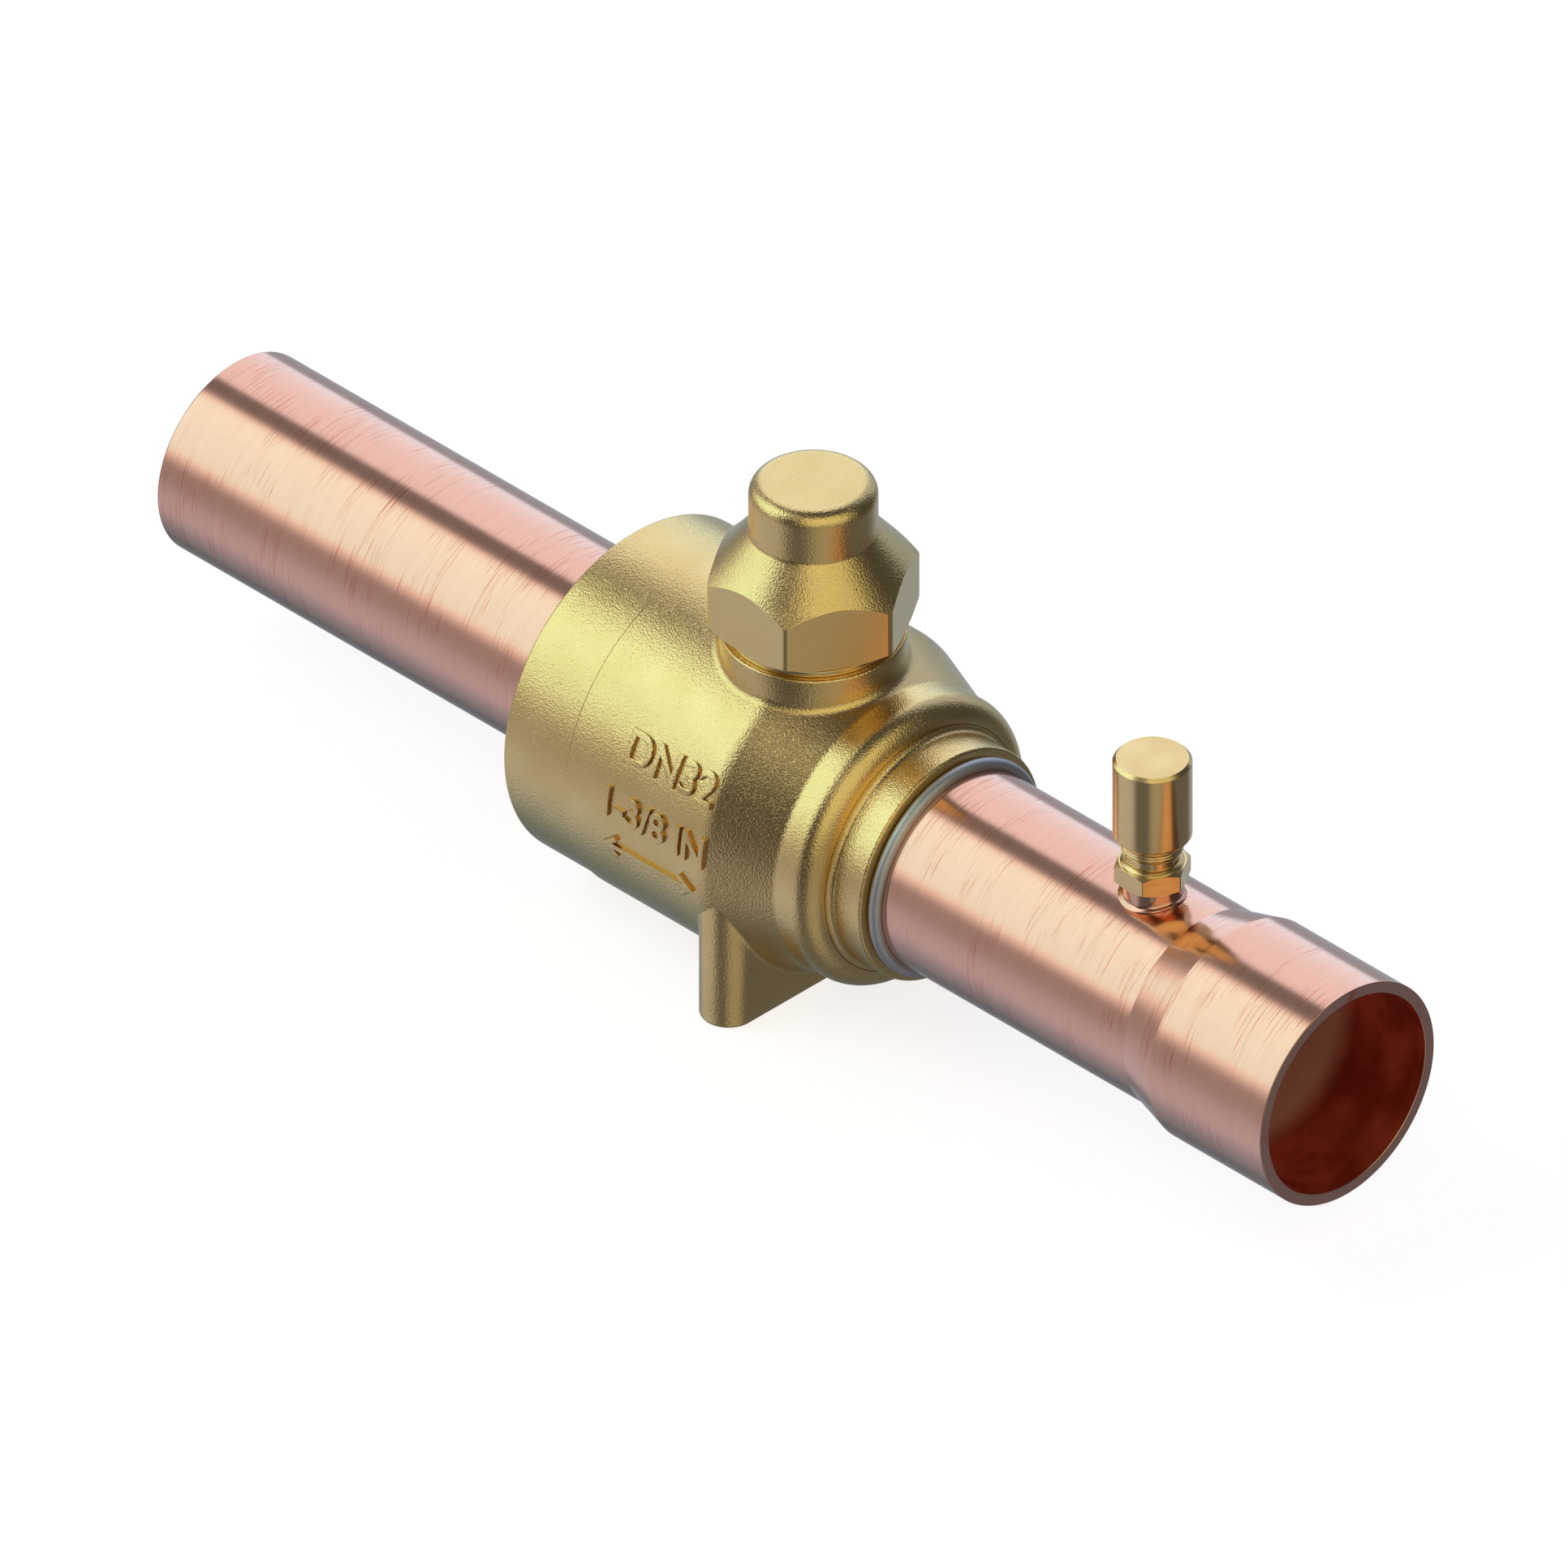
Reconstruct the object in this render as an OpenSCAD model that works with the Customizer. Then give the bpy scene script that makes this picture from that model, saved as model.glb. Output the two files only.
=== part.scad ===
// Shut-off ball valve with brazed copper tubes and an access port.
// The pipe runs along X, with the expanded socket end at +X. The stem points up along Z.
// The origin is the middle of the foot's underside, a little way along the pipe from the stem axis.

/* [Copper tubes] */
// Outside diameter of the tubes, 1 3/8 in
tube_d = 34.93; // [34.5:0.01:36]
// Wall of the tubes
tube_wall = 2.0; // [1.2:0.1:2.6]
// From the stem axis to the plain inlet end
inlet_reach = 129.9; // [100:0.1:160]
// From the stem axis to the mouth of the outlet socket
outlet_reach = 119.8; // [112:0.1:150]
// Depth of the outlet socket
socket_depth = 25.0; // [20:0.1:27]
// Gap round a tube that is pushed into the socket
socket_gap = 0.07; // [0.04:0.01:0.15]
// Half angle of the flare between tube and socket
flare_angle = 15; // [10:1:30]
// Diameter of the tube's turned end inside the brass
tube_end_d = 34.5; // [34:0.05:34.55]
// Length of tube that sits inside the brass
tube_insert = 9.0; // [6:0.1:12]
// Gap between tube and brass, filled by the solder
braze_gap = 0.05; // [0.03:0.01:0.1]

/* [Braze rings] */
// Radius of the solder bead's section
bead_section_r = 1.16; // [0.8:0.02:1.5]
// Distance of the bead's centre from the brass face
bead_lift = 1.16; // [0.8:0.02:1.5]
// Distance of the bead's centre from the tube's skin
bead_stand = 0.5; // [0.2:0.05:0.8]

/* [Valve body] */
// Diameter of the body
body_d = 59.4; // [58:0.1:64]
// From the stem axis to the joint with the end connector
body_inlet = 26.3; // [25:0.1:30]
// From the stem axis to the start of the cone
cone_start = 4.3; // [3:0.1:7]
// Angle of the cone
cone_angle = 19.5; // [17:0.5:21]
// Rounding between cylinder and cone
cone_blend_r = 8.4; // [4:0.1:10]
// Diameter of the shoulder behind the hub
shoulder_d = 50.7; // [50:0.1:53]
// From the stem axis to the start of the shoulder's rounding
shoulder_end = 20.2; // [19:0.1:21]
// Rounding of the shoulder
shoulder_round_r = 3.9; // [3:0.1:4.5]
// Hollow between cone and shoulder
shoulder_hollow_r = 3.0; // [1:0.1:4]
// Diameter of the hub that holds the outlet tube
hub_d = 40.7; // [39.5:0.1:42]
// From the stem axis to the hub's end face
hub_reach = 30.7; // [29:0.1:36]
// Broken edge of the hub
hub_edge = 0.25; // [0.1:0.05:0.5]

/* [Foot] */
// Thickness of the foot along the pipe
foot_w = 9.4; // [8:0.1:12]
// Length of the foot across the pipe
foot_len = 57; // [50:0.1:58.4]
// From the stem axis to the middle of the foot, along the pipe
foot_x = 4.75; // [3:0.05:6]
// How far the foot's underside stands below the body
foot_stand = 0.05; // [0:0.05:5]
// Broken edge round the underside
foot_edge = 0.5; // [0.2:0.1:1]
// Spacing of the two tapped holes
foot_hole_spacing = 40; // [30:0.5:44]
// Diameter of the tapped holes, M5 before tapping
foot_hole_d = 4.2; // [3:0.1:5]
// Depth of the tapped holes
foot_hole_depth = 8; // [5:0.5:9]

/* [End connector] */
// How far the collar's side stands in from the body's
collar_step = 0.3; // [0:0.05:0.8]
// Length of the collar
collar_len = 14.0; // [12:0.1:18]
// Diameter of the spigot that screws into the body
spigot_d = 48.6; // [47.6:0.1:49.6]
// Length of the screwed part of the spigot
spigot_len = 10.3; // [9:0.1:11]
// Gap round the spigot
spigot_gap = 0.1; // [0.05:0.01:0.2]

/* [Ball and seats] */
// Diameter of the ball
ball_d = 44.0; // [43.6:0.1:44.6]
// Diameter of the straight way through the ball
port_d = 30.4; // [28:0.1:30.8]
// Gap between ball and cavity wall
cavity_gap = 0.6; // [0.3:0.05:0.8]
// Gap between ball and seats
seat_gap = 0.15; // [0.05:0.01:0.25]
// Outside diameter of a seat
seat_d = 39.0; // [38:0.1:39.6]
// From the ball's end back to the rear of a seat
seat_rear_in = 4.0; // [3:0.1:4.5]
// From the ball's end back to the front of a seat
seat_front_in = 10.5; // [10:0.1:11]
// Length by which a seat stands out of its pocket
seat_stand = 1.0; // [0.5:0.1:1.2]
// Gap round a seat in its pocket
pocket_gap = 0.1; // [0.05:0.01:0.2]
// Diameter of the ball's relief hole
relief_d = 2.5; // [1.5:0.1:4]

/* [Stem] */
// Diameter of the stem
stem_d = 12.0; // [10:0.1:12.6]
// Running gap round the stem
stem_gap = 0.05; // [0.02:0.01:0.09]
// Diameter of the collar that holds the stem in
stem_collar_d = 17.0; // [15:0.1:19]
// Thickness of that collar
stem_collar_h = 2.4; // [1.5:0.1:2.8]
// Gap between ball and stem collar
ball_stem_gap = 0.3; // [0.1:0.05:0.5]
// Thickness of the thrust washer
washer_h = 0.6; // [0.4:0.1:1]
// End play of the stem
end_play = 0.05; // [0.02:0.01:0.1]
// Thickness of the stem's blade
blade_w = 5.0; // [4:0.1:6]
// Length of the blade in the ball's slot
blade_len = 13.0; // [11:0.1:14.5]
// Depth of the ball's slot below its top
slot_depth = 3.8; // [3:0.1:4.2]
// Gap round the blade
blade_gap = 0.06; // [0.03:0.01:0.15]
// Section diameter of the stem's sealing rings
o_ring_d = 1.78; // [1.4:0.02:2]
// How far the lower O-ring sits below the boss's top
ring_drop = 1.3; // [0:0.1:2]
// Distance between the two rings
ring_spacing = 5.0; // [3.5:0.1:6]
// Diameter of the stop pin
stop_pin_d = 2.4; // [1.8:0.1:2.6]
// Reach of the stop pin from the stem axis
stop_pin_reach = 9.2; // [8.6:0.1:9.6]
// Width across the flats of the square
square_af = 9.0; // [7:0.1:9.8]
// How far the stem stands above the stop rim
stem_stand = 8.9; // [6:0.1:9.8]
// Width of the slot that shows the way
mark_w = 1.6; // [1:0.1:2.5]
// Depth of the slot that shows the way
mark_depth = 1.2; // [0.6:0.1:2]

/* [Boss and neck] */
// Diameter of the boss at its top
boss_d = 30.0; // [29:0.1:32]
// Draft of the boss's side
boss_draft = 3; // [1:0.5:5]
// How far the boss's top stands above the body's side
boss_stand = 1.1; // [0.6:0.1:3]
// Outside diameter of the neck's thread
neck_thread_d = 24.0; // [23:0.1:25]
// Pitch of the neck's thread
neck_pitch = 1.5; // [1:0.25:2]
// Height of the neck above the boss
neck_h = 11.2; // [10:0.1:11.6]
// Diameter of the stop rim on top of the neck
rim_d = 19.6; // [18.6:0.1:20.2]
// Height of the stop rim
rim_h = 2.6; // [2.4:0.1:2.8]

/* [Seal cap] */
// Width across the flats of the cap's hexagon
cap_af = 30.5; // [29.5:0.1:32]
// Distance between the boss and the hexagon's underside
cap_stand = 2.35; // [2:0.05:3]
// Height of the hexagon's corners above its underside
hex_h = 8.75; // [8:0.05:10]
// Diameter of the lip under the hexagon
lip_d = 28.0; // [27.4:0.1:29]
// Diameter of the knob
knob_d = 20.7; // [20.2:0.1:22]
// Top of the knob above the boss
knob_top = 28.4; // [27:0.1:30]
// Rounding of the knob's top edge
knob_round_r = 2.4; // [0.8:0.1:3]
// Hollow between cone and knob
knob_hollow_r = 1.2; // [1:0.1:2.4]
// Angle of the shoulder from the hexagon's flats up to the knob
shoulder_steep = 50; // [45:0.5:54]
// Wall of the cap round the stem
cap_wall = 2.4; // [2:0.1:2.8]
// Wall of the cap's top
cap_top_wall = 2.6; // [1.5:0.1:3.2]
// Gap round the neck's thread
cap_thread_gap = 0.1; // [0.05:0.01:0.2]
// Thickness of the gasket
gasket_h = 1.15; // [0.8:0.05:1.5]
// Width of the gasket's ring
gasket_w = 1.5; // [1:0.1:1.7]

/* [Access fitting] */
// From the stem axis to the access port
port_place = 76.1; // [56:0.1:80]
// Outside diameter of the copper stub
stub_d = 9.6; // [9:0.1:10.6]
// Wall of the copper stub
stub_wall = 1.2; // [0.8:0.1:1.4]
// Diameter of the stub's lip on the tube
stub_lip_d = 11.1; // [10.8:0.1:12]
// Thickness of the stub's lip
stub_lip_h = 0.35; // [0.2:0.05:0.6]
// Gap between the stub's lip and the tube
stub_seat_gap = 0.03; // [0.02:0.01:0.1]
// Height of the stub above the tube
stub_h = 2.75; // [2.2:0.05:5]
// Width across the flats of the hexagon
fitting_af = 11.0; // [10:0.1:12.5]
// Height of the hexagon
fitting_hex_h = 3.6; // [3:0.1:5]
// Diameter of the neck above the hexagon
fitting_neck_d = 8.86; // [8.6:0.02:9.4]
// Height of the neck above the hexagon
fitting_neck_h = 1.9; // [1.2:0.1:3]
// Outside diameter of the fitting's thread, 3/8 in
fitting_thread_d = 9.5; // [9.3:0.1:10]
// Pitch of the fitting's thread, 24 to the inch
fitting_pitch = 1.06; // [0.8:0.01:1.27]
// Length of the fitting's thread
fitting_thread_len = 11.0; // [10:0.1:12]
// Height of the sealing cone on top
nose_h = 0.9; // [0.5:0.1:1.4]
// Diameter of the bore for the core
core_bore_d = 5.3; // [5:0.05:5.6]
// Diameter of the passage below the core
passage_d = 3.0; // [2:0.1:3.6]

/* [Access core] */
// Gap round the core in its bore
core_gap = 0.05; // [0.03:0.01:0.1]
// Length of the core's body
core_len = 7.0; // [6:0.1:7.6]
// Diameter of the core's pin
core_pin_d = 1.2; // [0.9:0.05:1.3]
// Travel of the pin when it is pushed in
pin_travel = 1.5; // [1:0.1:1.7]
// Distance of the pin's tip below the fitting's top
pin_depth = 0.5; // [0.3:0.1:1]
// Wire diameter of the spring
wire_d = 0.34; // [0.25:0.01:0.36]
// Turns of the spring
spring_turns = 4; // [3:0.5:4.5]

/* [Access cap] */
// Diameter of the access cap
access_cap_d = 12.75; // [12:0.05:14]
// Height of the access cap
access_cap_h = 17.1; // [16:0.1:20]
// Chamfer round the cap's top
access_cap_edge = 0.45; // [0.2:0.05:1]
// Diameter of the cap's lower end
access_mouth_d = 10.2; // [10.1:0.05:10.6]
// Height of the cone at the cap's lower end
access_cone_h = 1.9; // [1:0.1:3]
// Gap round the fitting's thread
access_thread_gap = 0.1; // [0.05:0.01:0.15]
// Clear height between neck and cap
access_stand = 0.7; // [0.4:0.1:1]
// Thickness of the cap's sealing disc
cap_seal_h = 1.6; // [1:0.1:2]

/* [Hidden] */
$fn = 96;

// Overshoot of a cut past the face that it opens
past = 1;

// Copper tubes
tube_r = tube_d / 2;
tube_in_r = tube_r - tube_wall;
socket_in_r = tube_r + socket_gap;
socket_r = socket_in_r + tube_wall;
socket_start = outlet_reach - socket_depth;
flare_start = socket_start - (socket_r - tube_r) / tan(flare_angle);
tube_end_r = tube_end_d / 2;
braze_r = tube_end_r + braze_gap;
// The turned end starts just under the edge of the solder bead
turned_len = bead_lift + sqrt(bead_section_r * bead_section_r - bead_stand * bead_stand) - 0.01;

// Body and connector
body_r = body_d / 2;
axis_height = body_r + foot_stand;
boss_top = body_r + boss_stand;
shoulder_r = shoulder_d / 2;
hub_r = hub_d / 2;
hub_hollow_r = shoulder_r - shoulder_round_r - hub_r;
cone_foot = cone_start + (body_r - shoulder_r) / tan(cone_angle);
collar_r = body_r - collar_step;
connector_face = body_inlet + collar_len;
spigot_r = spigot_d / 2;
spigot_step = body_inlet - spigot_len;

// Ball, seats and the cavity round them
ball_r = ball_d / 2;
seat_back = ball_r - seat_rear_in;
seat_front = ball_r - seat_front_in;
port_r = port_d / 2;
cavity_r = ball_r + cavity_gap;
cavity_end = seat_front + seat_stand;
seat_r = seat_d / 2;
pocket_r = seat_r + pocket_gap;
pocket_back = seat_back + pocket_gap / 2;
nose_r = cavity_r - spigot_gap;

// Closure seal in the spigot's groove
closure_d = 1.78;
closure_gap = 0.15;
closure_groove_r = spigot_r - closure_d - closure_gap;
closure_ring_r = spigot_r - closure_gap / 2 - closure_d / 2;
closure_groove_w = closure_d * 1.4;
closure_x = body_inlet - 0.6 - closure_groove_w / 2;

// Stem: heights are above the pipe axis
stem_r = stem_d / 2;
collar_bottom = ball_r + ball_stem_gap;
collar_top = collar_bottom + stem_collar_h;
washer_bottom = collar_top + end_play / 2;
shoulder_z = washer_bottom + washer_h + end_play / 2;
stem_pocket_gap = 0.2;
stem_pocket_r = stem_collar_d / 2 + stem_pocket_gap;
slot_floor = ball_r - slot_depth;
blade_bottom = slot_floor + ball_stem_gap;
lower_ring_z = boss_top - ring_drop;
ring_groove_w = o_ring_d * 1.35;
ring_mid_r = stem_r - 0.02 - o_ring_d / 2;
ring_groove_r = ring_mid_r - o_ring_d / 2;
neck_top = boss_top + neck_h;
rim_top = neck_top + rim_h;
stop_pin_z = neck_top + rim_h / 2;
stop_pin_r = stop_pin_d / 2;
stop_gap = 0.15;
pin_hole_gap = 0.03;
// The pin's back end lies this far inside the stem's side, so its rim clears the bore
pin_sink = 0.2;
square_bottom = rim_top + 0.9;
stem_top = rim_top + stem_stand;
stem_edge = 0.8;

// Neck and seal cap
boss_r = boss_d / 2;
neck_thread_depth = 0.613 * neck_pitch;
neck_core_r = neck_thread_d / 2 - neck_thread_depth;
relief_h = 0.8;
cap_bore_r = neck_thread_d / 2 + cap_thread_gap;
cap_bottom = boss_top + cap_stand;
lip_bottom = boss_top + gasket_h;
cap_corner_r = cap_af / sqrt(3);
hex_top = cap_bottom + hex_h;
knob_r = knob_d / 2;
knob_z = boss_top + knob_top;
// The cap's corners end in a 45 degree cone, so height plus radius is the same all along it
cone_sum = hex_top + cap_corner_r;
steep_r = cap_af / 2 + 0.35;
knob_foot = cone_sum - steep_r + (steep_r - knob_r) * tan(shoulder_steep);
knob_bore_r = knob_r - cap_wall;
cone_wall = 2.5;
bore_cone_sum = cone_sum - cone_wall * sqrt(2);
lower_chamfer = 30;
lower_chamfer_r = cap_af / 2 + 0.35;
gasket_in_r = lip_d / 2 - gasket_w;

// Access port: heights are above the pipe axis
stub_r = stub_d / 2;
stub_in_r = stub_r - stub_wall;
stub_top = tube_r + stub_h;
fitting_corner_r = fitting_af / sqrt(3);
fitting_hex_top = stub_top + fitting_hex_h;
neck_end = fitting_hex_top + fitting_neck_h;
fitting_thread_depth = 0.6 * fitting_pitch;
fitting_core_r = fitting_thread_d / 2 - fitting_thread_depth;
thread_end = neck_end + fitting_thread_len;
fitting_top = thread_end + nose_h;
fitting_bore_r = core_bore_d / 2;
fitting_ring_r = fitting_neck_d / 2 + 0.75;
fitting_ring_h = 0.55;
core_r = fitting_bore_r - core_gap;
core_top = fitting_top - 1.1;
core_bottom = core_top - core_len;
core_floor = core_bottom - 1.6;
disc_r = core_r - 0.7;
disc_h = 1.1;
disc_gap = 0.1;
disc_room = disc_h + pin_travel + 0.5;
chamber_r = disc_r + 0.4;
core_pin_r = core_pin_d / 2;
core_hole_r = core_pin_r + 0.3;
spring_room_r = core_r - 0.6;
spring_floor = core_bottom + 2.6;
flange_h = 0.4;
flange_r = spring_room_r - 0.2;
flange_bottom = core_top - 1.0;
spring_gap = 0.04;
spring_mid_r = flange_r - wire_d / 2;
seal_z = core_bottom + 1.0;
seal_h = 0.9;
seal_depth = 0.45;
pin_tip = fitting_top - pin_depth;

// Access cap
access_r = access_cap_d / 2;
access_bottom = neck_end + access_stand;
access_top = access_bottom + access_cap_h;
access_bore_r = fitting_thread_d / 2 + access_thread_gap;
cap_seal_bottom = fitting_top + 0.1;
cap_seal_top = cap_seal_bottom + cap_seal_h;
cap_seal_r = access_bore_r - 0.1;

// Points on an arc of radius r round c, from angle a to angle b
function arc_points(c, r, a, b, steps = 8) =
    [for (i = [0 : steps]) c + r * [cos(a + (b - a) * i / steps), sin(a + (b - a) * i / steps)]];

// Everything is drawn about the stem axis and moved so that the foot's middle is the origin
module from_stem() {
    translate([-foot_x, 0, 0])
        children();
}

// A profile of [radius, x] points turned about the pipe axis
module pipe_turn(points) {
    translate([0, 0, axis_height])
        rotate([0, 90, 0])
            rotate_extrude()
                polygon(points);
}

// A profile of [radius, height] points turned about an upright axis at x
module post_turn(points, x = 0) {
    translate([x, 0, axis_height])
        rotate_extrude()
            polygon(points);
}

// A straight post about an upright axis, between two heights above the pipe axis
module post(r, bottom, top, x = 0) {
    translate([x, 0, axis_height + bottom])
        cylinder(r = r, h = top - bottom);
}

// A ring between two radii and two places along the pipe
function ring_points(r_in, r_out, x0, x1) = [[r_in, x0], [r_out, x0], [r_out, x1], [r_in, x1]];

// Outline of the body's outside, from the inlet face to the hub's face
body_outline = concat(
    [[0, -body_inlet], [body_r, -body_inlet]],
    arc_points([body_r - cone_blend_r, cone_start - cone_blend_r * tan(cone_angle / 2)],
        cone_blend_r, 0, cone_angle),
    arc_points([shoulder_r + shoulder_hollow_r, cone_foot + shoulder_hollow_r * tan(cone_angle / 2)],
        shoulder_hollow_r, 180 + cone_angle, 180),
    arc_points([shoulder_r - shoulder_round_r, shoulder_end], shoulder_round_r, 0, 90),
    arc_points([hub_r + hub_hollow_r, shoulder_end + shoulder_round_r + hub_hollow_r],
        hub_hollow_r, 270, 180),
    [[hub_r, hub_reach - hub_edge], [hub_r - hub_edge, hub_reach], [0, hub_reach]]);

// Outline of the hollow inside the body
cavity_outline = [
    [0, -body_inlet - past],
    [spigot_r + spigot_gap, -body_inlet - past],
    [spigot_r + spigot_gap, -spigot_step + spigot_gap],
    [cavity_r, -spigot_step + spigot_gap],
    [cavity_r, cavity_end],
    [pocket_r, cavity_end],
    [pocket_r, pocket_back],
    [port_r, pocket_back],
    [port_r, hub_reach - tube_insert],
    [braze_r, hub_reach - tube_insert],
    [braze_r, hub_reach + past],
    [0, hub_reach + past]];

// The foot: a slab with round ends, its lower edge broken
module foot_block() {
    end_y = (foot_len - foot_w) / 2;
    foot_r = foot_w / 2;
    low_r = foot_r - foot_edge;
    for (side = [-1, 1])
        translate([0, side * end_y, 0]) {
            cylinder(r1 = low_r, r2 = foot_r, h = foot_edge);
            translate([0, 0, foot_edge])
                cylinder(r = foot_r, h = axis_height - foot_edge);
        }
    rotate([90, 0, 0])
        linear_extrude(height = 2 * end_y, center = true)
            polygon([[-low_r, 0], [low_r, 0], [foot_r, foot_edge], [foot_r, axis_height],
                [-foot_r, axis_height], [-foot_r, foot_edge]]);
}

// The quarter of the stop rim that the pin sweeps, with its stop faces at both ends
module stop_sweep() {
    face = stop_pin_r + stop_gap;
    translate([-face, -rim_d, axis_height + neck_top])
        cube([rim_d + face, rim_d + face, rim_h + past]);
}

module valve_body() {
    color("goldenrod") from_stem()
        difference() {
            union() {
                pipe_turn(body_outline);
                translate([0, 0, axis_height])
                    cylinder(r1 = boss_r + boss_top * tan(boss_draft), r2 = boss_r, h = boss_top);
                post(neck_core_r, boss_top, neck_top);
                difference() {
                    post(rim_d / 2, neck_top, rim_top);
                    stop_sweep();
                }
                translate([foot_x, 0, 0])
                    foot_block();
            }
            pipe_turn(cavity_outline);
            post(stem_pocket_r, 0, shoulder_z);
            post(stem_r + stem_gap, shoulder_z - past, rim_top + past);
            for (side = [-1, 1])
                translate([foot_x, side * foot_hole_spacing / 2, -past])
                    cylinder(d = foot_hole_d, h = foot_hole_depth + past);
        }
}

module end_connector() {
    color("goldenrod") from_stem()
        difference() {
            pipe_turn([
                [0, -connector_face],
                [collar_r, -connector_face],
                [collar_r, -body_inlet],
                [spigot_r, -body_inlet],
                [spigot_r, -closure_x - closure_groove_w / 2],
                [closure_groove_r, -closure_x - closure_groove_w / 2],
                [closure_groove_r, -closure_x + closure_groove_w / 2],
                [spigot_r, -closure_x + closure_groove_w / 2],
                [spigot_r, -spigot_step],
                [nose_r, -spigot_step],
                [nose_r, -cavity_end],
                [0, -cavity_end]]);
            pipe_turn([
                [0, -connector_face - past],
                [braze_r, -connector_face - past],
                [braze_r, -connector_face + tube_insert],
                [port_r, -connector_face + tube_insert],
                [port_r, -pocket_back],
                [pocket_r, -pocket_back],
                [pocket_r, -cavity_end + past],
                [0, -cavity_end + past]]);
        }
}

module inlet_tube() {
    color("peru") from_stem()
        pipe_turn([
            [tube_in_r, -inlet_reach],
            [tube_r, -inlet_reach],
            [tube_r, -connector_face - turned_len],
            [tube_end_r, -connector_face - turned_len],
            [tube_end_r, -connector_face + tube_insert - braze_gap],
            [tube_in_r, -connector_face + tube_insert - braze_gap]]);
}

module outlet_tube() {
    inner_shift = tube_wall * tan(flare_angle / 2);
    color("peru") from_stem()
        difference() {
            pipe_turn([
                [tube_in_r, hub_reach - tube_insert + braze_gap],
                [tube_end_r, hub_reach - tube_insert + braze_gap],
                [tube_end_r, hub_reach + turned_len],
                [tube_r, hub_reach + turned_len],
                [tube_r, flare_start],
                [socket_r, socket_start],
                [socket_r, outlet_reach],
                [socket_in_r, outlet_reach],
                [socket_in_r, socket_start + inner_shift],
                [tube_in_r, flare_start + inner_shift]]);
            post(passage_d / 2, 0, tube_r + past, port_place);
        }
}

// A solder bead in the corner between a brass face and a tube
module braze_ring(side, face) {
    seat_r = tube_r + stub_seat_gap;
    color("silver") from_stem()
        translate([side * face, 0, axis_height])
            rotate([0, side * 90, 0])
                rotate_extrude()
                    intersection() {
                        translate([tube_r + bead_stand, bead_lift])
                            circle(r = bead_section_r, $fn = 24);
                        translate([seat_r, 0])
                            square([3 * bead_section_r, 3 * bead_section_r]);
                    }
}

module inlet_braze_ring() {
    braze_ring(-1, connector_face);
}

module outlet_braze_ring() {
    braze_ring(1, hub_reach);
}

module ball() {
    slot_w = blade_w + 2 * blade_gap;
    color("silver") from_stem()
        difference() {
            translate([0, 0, axis_height])
                sphere(r = ball_r);
            pipe_turn([[0, -ball_d], [port_r, -ball_d], [port_r, ball_d], [0, ball_d]]);
            translate([-slot_w / 2, -ball_r, axis_height + slot_floor])
                cube([slot_w, ball_d, slot_depth + past]);
            post(relief_d / 2, 0, ball_r);
        }
}

// A seat whose front is hollowed to the ball
module ball_seat(side) {
    color("white") from_stem()
        difference() {
            translate([0, 0, axis_height])
                rotate([0, side * 90, 0])
                    rotate_extrude()
                        polygon(ring_points(port_r, seat_r, seat_front, seat_back));
            translate([0, 0, axis_height])
                sphere(r = ball_r + seat_gap);
        }
}

module inlet_seat() {
    ball_seat(-1);
}

module outlet_seat() {
    ball_seat(1);
}

module closure_seal() {
    color("dimgray") from_stem()
        translate([-closure_x, 0, axis_height])
            rotate([0, 90, 0])
                rotate_extrude()
                    translate([closure_ring_r, 0])
                        circle(d = closure_d, $fn = 32);
}

// Half section of a sealing groove in the stem
function groove_points(z) = [
    [stem_r, z - ring_groove_w / 2],
    [ring_groove_r, z - ring_groove_w / 2],
    [ring_groove_r, z + ring_groove_w / 2],
    [stem_r, z + ring_groove_w / 2]];

module stem() {
    color("lightgray") from_stem()
        difference() {
            union() {
                post_turn(concat(
                    [[0, collar_bottom], [stem_collar_d / 2, collar_bottom],
                        [stem_collar_d / 2, collar_top], [stem_r, collar_top]],
                    groove_points(lower_ring_z),
                    groove_points(lower_ring_z + ring_spacing),
                    [[stem_r, square_bottom], [0, square_bottom]]));
                intersection() {
                    post_turn([[0, square_bottom - past], [stem_r, square_bottom - past],
                        [stem_r, stem_top - stem_edge], [stem_r - stem_edge, stem_top],
                        [0, stem_top]]);
                    translate([-square_af / 2, -square_af / 2, axis_height + square_bottom - past])
                        cube([square_af, square_af, stem_top - square_bottom + past]);
                }
                intersection() {
                    translate([-blade_w / 2, -blade_len / 2, axis_height + blade_bottom])
                        cube([blade_w, blade_len, collar_bottom - blade_bottom + past]);
                    post(blade_len / 2, blade_bottom, collar_top);
                }
            }
            translate([-stem_d, 0, axis_height + stop_pin_z])
                rotate([0, 90, 0])
                    cylinder(r = stop_pin_r + pin_hole_gap, h = 2 * stem_d);
            translate([-stem_d, -mark_w / 2, axis_height + stem_top - mark_depth])
                cube([2 * stem_d, mark_w, mark_depth + past]);
        }
}

module thrust_washer() {
    color("white") from_stem()
        post_turn([[stem_r + 0.1, washer_bottom], [stem_collar_d / 2, washer_bottom],
            [stem_collar_d / 2, washer_bottom + washer_h], [stem_r + 0.1, washer_bottom + washer_h]]);
}

module stem_o_ring(z) {
    color("black") from_stem()
        translate([0, 0, axis_height + z])
            rotate_extrude()
                translate([ring_mid_r, 0])
                    circle(d = o_ring_d, $fn = 32);
}

module stem_o_ring_lower() {
    stem_o_ring(lower_ring_z);
}

module stem_o_ring_upper() {
    stem_o_ring(lower_ring_z + ring_spacing);
}

module stop_pin() {
    color("gray") from_stem()
        translate([pin_sink - stem_r, 0, axis_height + stop_pin_z])
            rotate([0, 90, 0])
                cylinder(r = stop_pin_r, h = stem_r - pin_sink + stop_pin_reach);
}

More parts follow.
